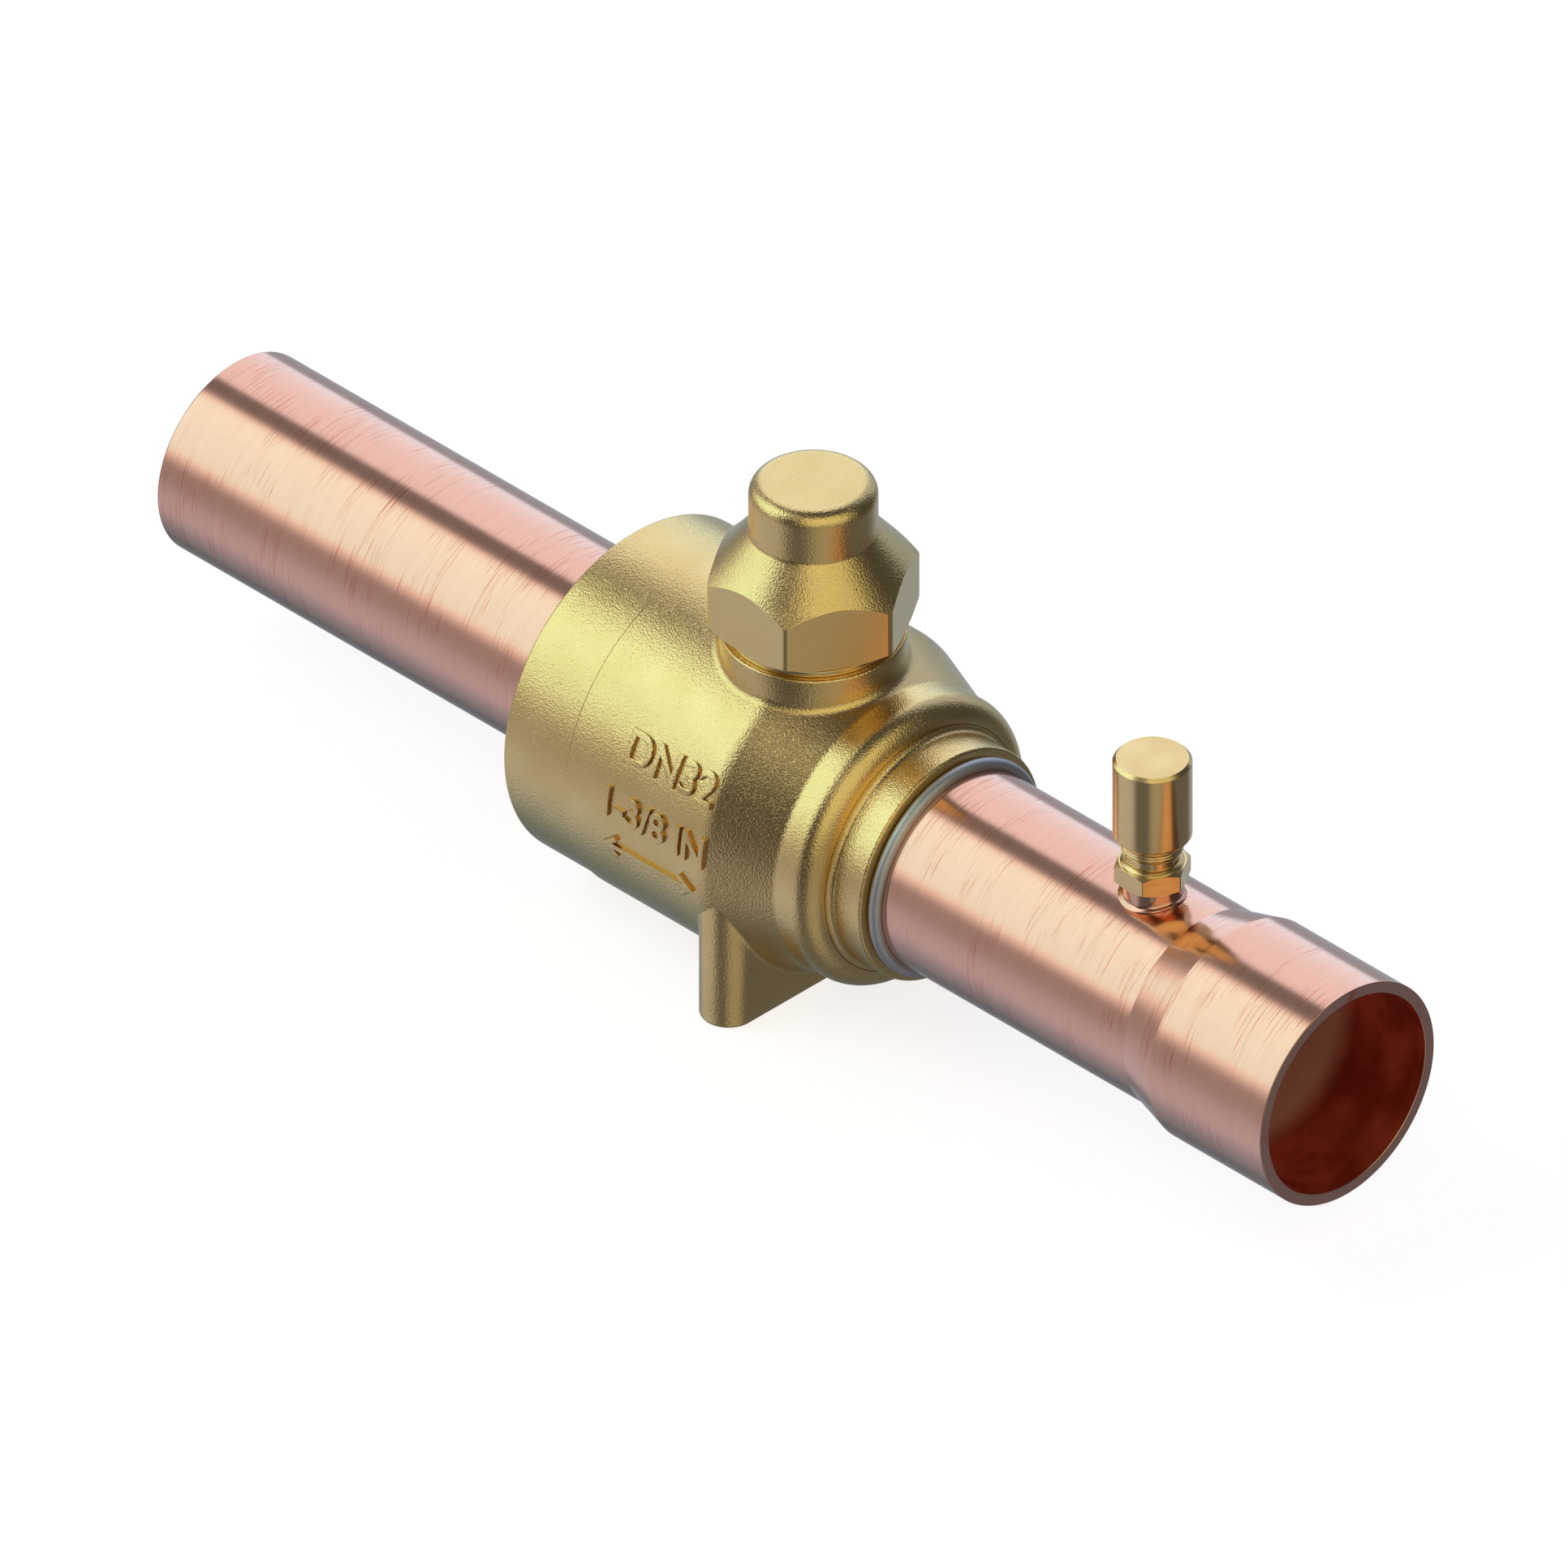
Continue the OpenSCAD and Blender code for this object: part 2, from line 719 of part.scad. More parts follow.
// Outline of the cap: 30 degree chamfer under the hexagon, 45 degree cone, steeper shoulder and knob
cap_outline = concat(
    [[0, cap_bottom], [lower_chamfer_r, cap_bottom],
        [lower_chamfer_r + 4, cap_bottom + 4 * tan(lower_chamfer)],
        [cap_corner_r + 2, cone_sum - cap_corner_r - 2], [steep_r, cone_sum - steep_r]],
    arc_points([knob_r + knob_hollow_r, knob_foot + knob_hollow_r * tan(45 - shoulder_steep / 2)],
        knob_hollow_r, 270 - shoulder_steep, 180),
    arc_points([knob_r - knob_round_r, knob_z - knob_round_r], knob_round_r, 0, 90),
    [[0, knob_z]]);

module seal_cap() {
    color("goldenrod") from_stem()
        difference() {
            union() {
                intersection() {
                    post_turn(cap_outline);
                    translate([0, 0, axis_height + cap_bottom])
                        cylinder(r = cap_corner_r, h = knob_top, $fn = 6);
                }
                post(lip_d / 2, lip_bottom, cap_bottom + past);
            }
            post_turn([
                [0, lip_bottom - past],
                [cap_bore_r, lip_bottom - past],
                [cap_bore_r, bore_cone_sum - cap_bore_r],
                [knob_bore_r, bore_cone_sum - knob_bore_r],
                [knob_bore_r, knob_z - cap_top_wall],
                [0, knob_z - cap_top_wall]]);
        }
}

module cap_gasket() {
    color("orange") from_stem()
        post_turn([[gasket_in_r, boss_top], [lip_d / 2, boss_top], [lip_d / 2, lip_bottom],
            [gasket_in_r, lip_bottom]]);
}

module access_stub() {
    color("peru") from_stem()
        difference() {
            union() {
                post(stub_r, 0, stub_top, port_place);
                intersection() {
                    post(stub_lip_d / 2, 0, stub_top, port_place);
                    pipe_turn(ring_points(0, tube_r + stub_seat_gap + stub_lip_h,
                        port_place - stub_d, port_place + stub_d));
                }
            }
            pipe_turn(ring_points(0, tube_r + stub_seat_gap, port_place - stub_d, port_place + stub_d));
            post(stub_in_r, 0, stub_top + past, port_place);
        }
}

module access_fitting() {
    hex_chamfer = tan(30);
    hex_flat_r = fitting_af / 2 - 0.05;
    spigot_bottom = tube_r + 0.3;
    color("goldenrod") from_stem()
        difference() {
            union() {
                intersection() {
                    post_turn([
                        [0, stub_top],
                        [hex_flat_r, stub_top],
                        [hex_flat_r + 2, stub_top + 2 * hex_chamfer],
                        [hex_flat_r + 2, fitting_hex_top - 2 * hex_chamfer],
                        [hex_flat_r, fitting_hex_top],
                        [0, fitting_hex_top]], port_place);
                    translate([port_place, 0, axis_height + stub_top])
                        cylinder(r = fitting_corner_r, h = fitting_hex_h, $fn = 6);
                }
                post(stub_in_r - braze_gap, spigot_bottom, stub_top + past, port_place);
                post_turn([
                    [0, fitting_hex_top - past],
                    [fitting_ring_r, fitting_hex_top - past],
                    [fitting_ring_r, fitting_hex_top],
                    [fitting_neck_d / 2, fitting_hex_top + fitting_ring_h],
                    [fitting_neck_d / 2, neck_end],
                    [fitting_core_r, neck_end],
                    [fitting_core_r, thread_end],
                    [fitting_core_r - nose_h, fitting_top],
                    [0, fitting_top]], port_place);
            }
            post(passage_d / 2, 0, core_floor + past, port_place);
            post(chamber_r, core_bottom - disc_room, core_bottom, port_place);
            post(fitting_bore_r, core_bottom - disc_gap, fitting_top + past, port_place);
        }
}

module core_body() {
    color("khaki") from_stem()
        difference() {
            post(core_r, core_bottom, core_top, port_place);
            post(core_hole_r, core_bottom - past, core_top + past, port_place);
            post(spring_room_r, spring_floor, core_top + past, port_place);
            post_turn([[core_r - seal_depth, seal_z], [core_r + past, seal_z],
                [core_r + past, seal_z + seal_h], [core_r - seal_depth, seal_z + seal_h]], port_place);
        }
}

module core_seal() {
    seal_in = core_r - seal_depth + 0.02;
    color("white") from_stem()
        post_turn([[seal_in, seal_z + 0.03], [core_r - 0.1, seal_z + 0.03],
            [core_r + 0.02, seal_z + seal_h - 0.03], [seal_in, seal_z + seal_h - 0.03]], port_place);
}

module core_pin() {
    color("khaki") from_stem() {
        post(core_pin_r, core_bottom - disc_gap - disc_h, pin_tip, port_place);
        post(flange_r, flange_bottom, flange_bottom + flange_h, port_place);
    }
}

// Sealing disc on the lower end of the pin
module core_disc() {
    color("dimgray") from_stem()
        post_turn([
            [core_pin_r + 0.02, core_bottom - disc_gap - disc_h],
            [disc_r, core_bottom - disc_gap - disc_h],
            [disc_r, core_bottom - disc_gap - disc_h / 2],
            [disc_r - 0.3, core_bottom - disc_gap],
            [core_pin_r + 0.02, core_bottom - disc_gap]], port_place);
}

// A round wire swept along a helix, closed by its two end faces
module core_spring() {
    sides = 6;
    per_turn = 14;
    rings = ceil(spring_turns * per_turn);
    low = spring_floor + spring_gap + wire_d / 2;
    high = flange_bottom - spring_gap - wire_d / 2;
    points = [for (i = [0 : rings]) for (k = [0 : sides - 1])
        let (turn = 360 * spring_turns * i / rings, a = 360 * k / sides,
            r = spring_mid_r + wire_d / 2 * cos(a))
        [r * cos(turn), r * sin(turn), low + (high - low) * i / rings + wire_d / 2 * sin(a)]];
    skin = [for (i = [0 : rings - 1]) for (k = [0 : sides - 1])
        let (n = (k + 1) % sides)
        [i * sides + k, (i + 1) * sides + k, (i + 1) * sides + n, i * sides + n]];
    ends = [[for (k = [0 : sides - 1]) k], [for (k = [sides - 1 : -1 : 0]) rings * sides + k]];
    color("silver") from_stem()
        translate([port_place, 0, axis_height])
            polyhedron(points = points, faces = concat(skin, ends));
}

module access_cap() {
    color("darkgoldenrod") from_stem()
        difference() {
            post_turn([
                [0, access_bottom],
                [access_mouth_d / 2, access_bottom],
                [access_r, access_bottom + access_cone_h],
                [access_r, access_top - access_cap_edge],
                [access_r - access_cap_edge, access_top],
                [0, access_top]], port_place);
            post(access_bore_r, access_bottom - past, cap_seal_top, port_place);
        }
}

module access_cap_seal() {
    color("black") from_stem()
        post(cap_seal_r, cap_seal_bottom, cap_seal_top, port_place);
}

valve_body();
end_connector();
inlet_tube();
outlet_tube();
inlet_braze_ring();
outlet_braze_ring();
ball();
inlet_seat();
outlet_seat();
closure_seal();
stem();
thrust_washer();
stem_o_ring_lower();
stem_o_ring_upper();
stop_pin();
seal_cap();
cap_gasket();
access_stub();
access_fitting();
core_body();
core_seal();
core_pin();
core_disc();
core_spring();
access_cap();
access_cap_seal();
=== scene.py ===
import math

import bmesh
import bpy
import numpy as np
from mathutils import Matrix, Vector


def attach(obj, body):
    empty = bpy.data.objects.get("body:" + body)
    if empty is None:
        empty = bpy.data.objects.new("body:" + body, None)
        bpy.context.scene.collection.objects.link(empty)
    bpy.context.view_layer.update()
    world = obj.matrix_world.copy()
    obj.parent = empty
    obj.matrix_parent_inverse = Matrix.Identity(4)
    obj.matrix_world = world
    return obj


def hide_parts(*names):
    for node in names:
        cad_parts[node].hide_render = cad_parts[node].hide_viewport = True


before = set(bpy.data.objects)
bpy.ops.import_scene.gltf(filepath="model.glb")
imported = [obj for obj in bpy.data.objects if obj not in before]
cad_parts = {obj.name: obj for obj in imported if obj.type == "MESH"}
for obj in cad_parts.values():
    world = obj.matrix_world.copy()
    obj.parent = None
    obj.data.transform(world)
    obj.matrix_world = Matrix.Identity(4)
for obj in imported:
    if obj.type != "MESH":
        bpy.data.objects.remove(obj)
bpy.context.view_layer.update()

mm = 0.001
axisHeight = 29.75   # mm from the foot's underside up to the pipe axis; heights below are from that axis
stemPlace = -4.75    # mm from the foot's middle to the stem axis; places along X below are from that axis


# Colour and node helpers

def linearColour(hexCode):
    # sRGB hex to linear: c/12.92 below 0.04045, else ((c+0.055)/1.055)^2.4
    channels = [int(hexCode[i:i + 2], 16) / 255 for i in (1, 3, 5)]
    return tuple(c / 12.92 if c <= 0.04045 else ((c + 0.055) / 1.055) ** 2.4 for c in channels) + (1.0,)


def fillInputs(tree, node, inputs):
    # each input takes a socket to link or a plain value
    for socket, value in inputs.items():
        if isinstance(value, bpy.types.NodeSocket):
            tree.links.new(value, node.inputs[socket])
        else:
            node.inputs[socket].default_value = value


def addNode(tree, kind, inputs=None, **settings):
    # adds one node, sets its properties, and links or fills its inputs
    node = tree.nodes.new(kind)
    for key, value in settings.items():
        setattr(node, key, value)
    fillInputs(tree, node, inputs or {})
    return node


def mathOn(tree, operation, *values):
    return addNode(tree, "ShaderNodeMath", dict(enumerate(values)), operation=operation).outputs[0]


def vectorOn(tree, operation, *values, output=0):
    return addNode(tree, "ShaderNodeVectorMath", dict(enumerate(values)), operation=operation).outputs[output]


def emptyTree(owner):
    owner.use_nodes = True
    owner.node_tree.nodes.clear()
    return owner.node_tree


def startMaterial(name):
    material = bpy.data.materials.new(name)
    tree = emptyTree(material)
    surface = addNode(tree, "ShaderNodeBsdfPrincipled")
    addNode(tree, "ShaderNodeOutputMaterial", {"Surface": surface.outputs[0]})
    return material, tree, surface, addNode(tree, "ShaderNodeTexCoord").outputs["Object"]


def noiseOf(tree, place, sizes, detail, roughness=0.5):
    # noise whose features measure sizes (mm) along X, Y and Z
    scaled = vectorOn(tree, "MULTIPLY", place, [1 / (s * mm) for s in sizes])
    return addNode(tree, "ShaderNodeTexNoise", {"Vector": scaled, "Scale": 1.0, "Detail": detail,
                                                "Roughness": roughness}).outputs["Fac"]


def rangeMap(tree, value, fromLow, fromHigh, toLow=0.0, toHigh=1.0, smooth=False):
    return addNode(tree, "ShaderNodeMapRange", {0: value, 1: fromLow, 2: fromHigh, 3: toLow, 4: toHigh},
                   interpolation_type="SMOOTHSTEP" if smooth else "LINEAR").outputs[0]


def blendColours(tree, factor, first, second, blend="MIX"):
    # each colour is an sRGB hex code or a socket
    first, second = (linearColour(c) if isinstance(c, str) else c for c in (first, second))
    node = addNode(tree, "ShaderNodeMix", {0: factor, "A": first, "B": second}, data_type="RGBA", blend_type=blend)
    return next(o for o in node.outputs if o.type == "RGBA")


def bumpFrom(tree, height, depth, normal=None):
    # depth is the real height of the pattern in mm
    inputs = {"Height": height, "Strength": 1.0, "Distance": depth * mm}
    if normal is not None:
        inputs["Normal"] = normal
    return addNode(tree, "ShaderNodeBump", inputs).outputs[0]


# Materials: each is what the real piece is made of, and how its skin was made

def pressedBrass():
    # hot-pressed brass, tumbled: a fine pebbled skin that breaks up reflections, yellow with a green cast
    look = dict(pale="#F1D193", deep="#EBCA8A", cloud=9.0, grain=0.31, relief=0.078, fine=0.14, fineRelief=0.16,
                rough=0.20)
    material, tree, surface, place = startMaterial("pressedBrass")
    pebble = noiseOf(tree, place, [look["grain"]] * 3, 1.5, 0.45)
    grit = noiseOf(tree, place, [look["fine"]] * 3, 1.0)
    cloud = noiseOf(tree, place, [look["cloud"]] * 3, 2.0)
    coarse = bumpFrom(tree, pebble, look["relief"])
    fillInputs(tree, surface, {
        "Base Color": blendColours(tree, rangeMap(tree, cloud, 0.35, 0.65), look["pale"], look["deep"]),
        "Normal": bumpFrom(tree, grit, look["relief"] * look["fineRelief"], coarse),
        "Roughness": rangeMap(tree, grit, 0.3, 0.7, look["rough"] - 0.04, look["rough"] + 0.05),
        "Metallic": 1.0})
    return material


def drawnCopper():
    # drawn copper tube, wiped round its girth: a satin pink sheen, with hair lines and groups of fine
    # scratches across the tube that look redder than the bright metal round them
    look = dict(pale="#F4BDA8", deep="#F2BAA5", band=[1.3, 16.0, 16.0], rough=0.145, hair=[0.10, 11.0, 11.0],
                hairDepth=0.00025, scratch=[0.115, 10.0, 10.0], scratchDepth=0.004, scratchTint="#EEB4AA",
                group=[5.2, 13.0, 13.0])
    material, tree, surface, place = startMaterial("drawnCopper")
    hair = noiseOf(tree, place, look["hair"], 3.0, 0.65)
    band = noiseOf(tree, place, look["band"], 2.0)
    scratch = noiseOf(tree, place, look["scratch"], 1.5)
    group = noiseOf(tree, place, look["group"], 1.0)
    mark = mathOn(tree, "MULTIPLY", rangeMap(tree, scratch, 0.625, 0.665, smooth=True),
                  rangeMap(tree, group, 0.46, 0.60, 0.15, 1.0, smooth=True))
    tone = blendColours(tree, rangeMap(tree, band, 0.35, 0.65), look["pale"], look["deep"])
    fine = bumpFrom(tree, hair, look["hairDepth"])
    fillInputs(tree, surface, {
        "Base Color": blendColours(tree, mark, tone, look["scratchTint"], "MULTIPLY"),
        "Normal": bumpFrom(tree, mark, -look["scratchDepth"], fine),
        "Roughness": rangeMap(tree, hair, 0.3, 0.7, look["rough"] - 0.02, look["rough"] + 0.04),
        "Metallic": 1.0})
    return material


def boreCopperPaintedLight():
    # the inside of the tubes, coloured by depth from the mouths: near the mouths a red metal is a painted red
    # reflection, and from a little way in a dull pale brown is painted light inside the bore. Depths are mm in from
    # the mouths, half and mid are along X
    look = dict(mid=-9.8, half=124.85, sheen=14.5, paintedLightDepth=20.5, red="#E0664A", deepRed="#B44430", brown="#E8A898",
                cloud=[7.0, 12.0, 12.0], hair=[0.12, 9.0, 9.0], hairDepth=0.003, rough=0.3)
    material, tree, surface, place = startMaterial("boreCopperPaintedLight")
    cloud = noiseOf(tree, place, look["cloud"], 3.0)
    hair = noiseOf(tree, place, look["hair"], 2.0)
    along = addNode(tree, "ShaderNodeSeparateXYZ", {0: place}).outputs["X"]
    away = mathOn(tree, "ABSOLUTE", mathOn(tree, "SUBTRACT", along, look["mid"] * mm))
    paintedLightDepthMask = rangeMap(tree, away, (look["half"] - look["sheen"]) * mm, (look["half"] - look["paintedLightDepth"]) * mm,
                       smooth=True)
    # painted reflection: the red of the metal near the mouths
    sheen = blendColours(tree, rangeMap(tree, cloud, 0.40, 0.60), look["red"], look["deepRed"])
    fillInputs(tree, surface, {
        "Base Color": blendColours(tree, paintedLightDepthMask, sheen, look["brown"]),
        "Normal": bumpFrom(tree, hair, look["hairDepth"]),
        "Roughness": look["rough"],
        "Metallic": rangeMap(tree, paintedLightDepthMask, 0.0, 1.0, 0.62, 0.12)})
    return material


def patternedOf(name, pale, deep, rough, sizes, relief, apart=False, metallic=1.0, **others):
    # one pattern of the sizes given in mm makes the relief and mixes the two tones, or sets them apart
    material, tree, surface, place = startMaterial(name)
    pattern = noiseOf(tree, place, sizes, 2.0)
    tones = rangeMap(tree, pattern, 0.35, 0.65) if apart else pattern
    fillInputs(tree, surface, {
        "Base Color": blendColours(tree, tones, pale, deep), "Normal": bumpFrom(tree, pattern, relief),
        "Roughness": rough, "Metallic": metallic, **others})
    return material


brassSkin = pressedBrass()
# brass hexagon stock, milled and tumbled: flat faces with a very fine satin grain
brassFlat = patternedOf("milledBrass", "#F1D193", "#E9C88A", 0.26, [0.16] * 3, 0.0014, True)
# free-cutting brass turned on a lathe: bright, with fine tool lines round the upright axis
brassTurned = patternedOf("turnedBrass", "#F5D69D", "#ECCA90", 0.22, [6.0, 6.0, 0.10], 0.0009, True)
copperSkin = drawnCopper()
copperInside = boreCopperPaintedLight()
# copper stub, polished by hand before brazing: a mirror with faint lines
copperBright = patternedOf("polishedCopper", "#F0BEA8", "#E7AE96", 0.09, [5.0, 5.0, 0.12], 0.0008)
# stamped copper alloy gasket and the cap's ground seat: pale gold with a soft gloss
gasketBright = patternedOf("stampedGasket", "#E8D0A0", "#D8BE88", 0.18, [8.0, 8.0, 0.14], 0.0008)
# silver solder frozen from the melt: smooth pale grey, its gloss softened by a slow ripple
solderSkin = patternedOf("frozenSolder", "#D6D6DC", "#C2C2CA", 0.48, [3.0] * 3, 0.03)
# chrome over a lapped ball: a clear mirror
chromePlate = patternedOf("polishedChrome", "#D6D7DA", "#C9CBD0", 0.07, [20.0] * 3, 0.0005)
# browner, duller brass for the walls of the raised marks: painted shade, darker than the body round them
brassPaintedShade = patternedOf("brassPaintedShadeOnMarkWalls", "#CDA468", "#B68A52", 0.30, [0.4] * 3, 0.004)
# stainless steel, turned: grey, with fine tool lines
steelTurned = patternedOf("turnedSteel", "#B9B8B5", "#A3A29F", 0.28, [5.0, 5.0, 0.1], 0.0015)
# PTFE, machined: waxy white with the tool's faint lines
whitePtfe = patternedOf("machinedPtfe", "#ECEBE6", "#E1E0DA", 0.42, [0.1, 4.0, 4.0], 0.003, metallic=0.0, IOR=1.38)
# rubber, moulded: dull black with the mould's faint grain
blackRubber = patternedOf("mouldedRubber", "#1C1C1D", "#262627", 0.55, [0.3] * 3, 0.004, metallic=0.0, IOR=1.52)
print("materials ready")


# Surfaces worked out with numpy. Every section is in mm, heights from the pipe axis

def roundedPath(corners, radii, closed=True, perArc=7, support=0.10):
    # walks along the corners and puts an arc of the given radius in each: the arc starts and ends
    # radius * tan(turn / 2) from the corner. A support point stands just off each end of an arc
    corners = np.asarray(corners, float)
    count = len(corners)
    points = []
    for i in range(count):
        p = corners[i]
        if not closed and i in (0, count - 1) or radii[i] <= 0:
            points.append(p[None])
            continue
        back, ahead = p - corners[i - 1], corners[(i + 1) % count] - p
        lengthBack, lengthAhead = np.hypot(*back), np.hypot(*ahead)
        back, ahead = back / lengthBack, ahead / lengthAhead
        turn = math.atan2(back[0] * ahead[1] - back[1] * ahead[0], back @ ahead)
        reach = radii[i] * math.tan(abs(turn) / 2)
        start = p - back * reach
        centre = start + np.array([-back[1], back[0]]) * math.copysign(radii[i], turn)
        angle = turn * np.linspace(0, 1, perArc)
        spoke = start - centre
        arc = np.stack([centre[0] + spoke[0] * np.cos(angle) - spoke[1] * np.sin(angle),
                        centre[1] + spoke[0] * np.sin(angle) + spoke[1] * np.cos(angle)], 1)
        off = min(support, radii[i] * 0.5)
        before = start - back * off
        after = p + ahead * (reach + off)
        points += [before[None]] if lengthBack - reach > 2.2 * off else []
        points.append(arc)
        points += [after[None]] if lengthAhead - reach > 2.2 * off else []
    return np.concatenate(points)


def newObject(name, data):
    thing = bpy.data.objects.new(name, data)
    bpy.context.scene.collection.objects.link(thing)
    return thing


def smoothMesh(mesh, sharp=32.0):
    # smooth shading, except across edges that turn by more than sharp (degrees)
    mesh.shade_smooth()
    mesh.set_sharp_from_angle(angle=math.radians(sharp))


def putMesh(name, skin, material, body, replaced, sharp=32.0, alsoMaterials=(), faceMaterial=None):
    # skin is an (n, 3) array of points in mm and a list of face index arrays; turns it outward if needed
    points, faces = skin
    places = (np.asarray(points, float) + (stemPlace, 0.0, axisHeight)) * mm
    starts, loops, cursor = [], [], 0
    for block in faces:
        starts.append(cursor + np.arange(len(block)) * block.shape[1])
        loops.append(block.ravel())
        cursor += block.size
    mesh = bpy.data.meshes.new(name)
    mesh.vertices.add(len(places))
    mesh.vertices.foreach_set("co", places.astype(np.float32).ravel())
    mesh.loops.add(cursor)
    mesh.polygons.add(sum(len(b) for b in faces))
    mesh.loops.foreach_set("vertex_index", np.concatenate(loops).astype(np.int32))
    mesh.polygons.foreach_set("loop_start", np.concatenate(starts).astype(np.int32))
    mesh.update(calc_edges=True)
    # signed volume: the sum of a . (b x c) over a fan of triangles in each face
    volume = sum(float(np.einsum("ij,ij->", places[b[:, 0]], np.cross(places[b[:, k]], places[b[:, k + 1]])))
                 for b in faces for k in range(1, b.shape[1] - 1))
    if volume < 0:
        mesh.flip_normals()
    mesh.validate()
    for each in (material, *alsoMaterials):
        mesh.materials.append(each)
    if faceMaterial is not None:
        mesh.polygons.foreach_set("material_index", faceMaterial.astype(np.int32))
    smoothMesh(mesh, sharp)
    thing = newObject(name, mesh)
    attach(thing, body)
    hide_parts(*replaced)
    return thing


def gridFaces(rows, columns, wrapRows):
    # quads between neighbouring rows and columns; the columns always close, the rows when wrapRows is set
    r = np.arange(rows if wrapRows else rows - 1)[:, None]
    c = np.arange(columns)[None]
    nextRow, nextColumn = (r + 1) % rows, (c + 1) % columns
    quads = np.stack([r * columns + c, r * columns + nextColumn, nextRow * columns + nextColumn,
                      nextRow * columns + c], -1)
    return quads.reshape(-1, 4)


def skinOf(rows, wrapRows, startPole=None, endPole=None):
    # rows is (rows, columns, 3). A pole is one point that closes the first or the last row with a fan
    count, columns = rows.shape[:2]
    points, faces = rows.reshape(-1, 3), [gridFaces(count, columns, wrapRows)]
    c = np.arange(columns)
    for pole, row, flip in ((startPole, 0, False), (endPole, count - 1, True)):
        if pole is not None:
            tip = len(points)
            points = np.concatenate([points, np.asarray(pole, float)[None]])
            ring = row * columns + c
            after = row * columns + (c + 1) % columns
            fan = np.stack([np.full(columns, tip), after, ring] if not flip
                           else [np.full(columns, tip), ring, after], 1)
            faces.append(fan)
    return points, faces


def evenAngles(columns):
    return np.linspace(0, 2 * np.pi, columns, endpoint=False)


def turnAboutPipe(section, columns=256):
    # section is (x, radius): x stays, and radius turns to (r sin a, r cos a) in the Y-Z plane
    a = evenAngles(columns)
    x, r = section[:, 0, None], section[:, 1, None]
    return np.stack([x + 0 * a, r * np.sin(a), r * np.cos(a)], -1)


def ringsOf(angles, pairs, place=0.0):
    # one ring for each pair of radius and height, about an upright axis at X = place. Either may be one
    # number or change round the ring
    return np.array([np.stack([place + r * np.cos(angles), r * np.sin(angles), z + 0 * angles], -1)
                     for r, z in pairs])


def edgeSteps(edge):
    # a rounded edge in five steps: how far each stands in from the side, and how far from the face
    return [(edge * inset, edge * drop)
            for inset, drop in ((1, 0), (0.62, 0.08), (0.29, 0.29), (0.08, 0.62), (0, 1))]


# Valve body, turned about the pipe: cylinder, cone, shoulder and hub outside, cavity inside

shell = dict(radius=29.7, inlet=-26.3, inletEdge=0.26, coneStart=4.3, coneAngle=19.5, coneBlend=8.4,
             shoulder=25.35, hollow=3.0, shoulderStart=20.2, shoulderRound=3.9, hubFace=30.7, hub=20.35,
             hubHollow=1.1, hubEdge=0.45, mouthEdge=0.15,
             inside=[(30.7, 17.3), (21.7, 17.3), (21.7, 15.2), (18.05, 15.2), (18.05, 19.6), (12.5, 19.6),
                     (12.5, 22.6), (-15.9, 22.6), (-15.9, 24.4), (-26.3, 24.4)])
coneFoot = shell["coneStart"] + (shell["radius"] - shell["shoulder"]) / math.tan(math.radians(shell["coneAngle"]))
shoulderFace = shell["shoulderStart"] + shell["shoulderRound"]
outerCorners = [(shell["inlet"], shell["radius"]), (shell["coneStart"], shell["radius"]),
                (coneFoot, shell["shoulder"]), (shoulderFace, shell["shoulder"]), (shoulderFace, shell["hub"]),
                (shell["hubFace"], shell["hub"])]
blends = [shell["coneBlend"], shell["hollow"], shell["shoulderRound"], shell["hubHollow"]]
bodyRadii = [shell["inletEdge"], *blends, shell["hubEdge"], shell["mouthEdge"]] + [0.0] * 9
bodySection = roundedPath(outerCorners + shell["inside"], bodyRadii, perArc=12)
putMesh("bodyShell", skinOf(turnAboutPipe(bodySection), True), brassSkin, "valve", ["valve_body"])

# a dense outline of the outside, which the fillets of boss and foot roll along
outline = roundedPath(outerCorners, [0.0, *blends, 0.0], closed=False, perArc=40)
steps = np.concatenate([[0], np.cumsum(np.hypot(*np.diff(outline, axis=0).T))])
dense = np.linspace(0, steps[-1], 2400)
outline = np.stack([np.interp(dense, steps, outline[:, 0]), np.interp(dense, steps, outline[:, 1])], 1)


def nearestOnBody(x, y, z):
    # distance from points to the turned outline, and the nearest point on it
    radius = np.hypot(y, z)
    dx, dr = x[:, None] - outline[None, :, 0], radius[:, None] - outline[None, :, 1]
    gap = np.hypot(dx, dr)
    k = gap.argmin(1)
    near = outline[k]
    side = np.where(radius > np.interp(x, outline[:, 0], outline[:, 1]), 1.0, -1.0)
    ring = near[:, 1] / radius
    return side * gap[np.arange(len(x)), k], np.stack([near[:, 0], y * ring, z * ring], 1)


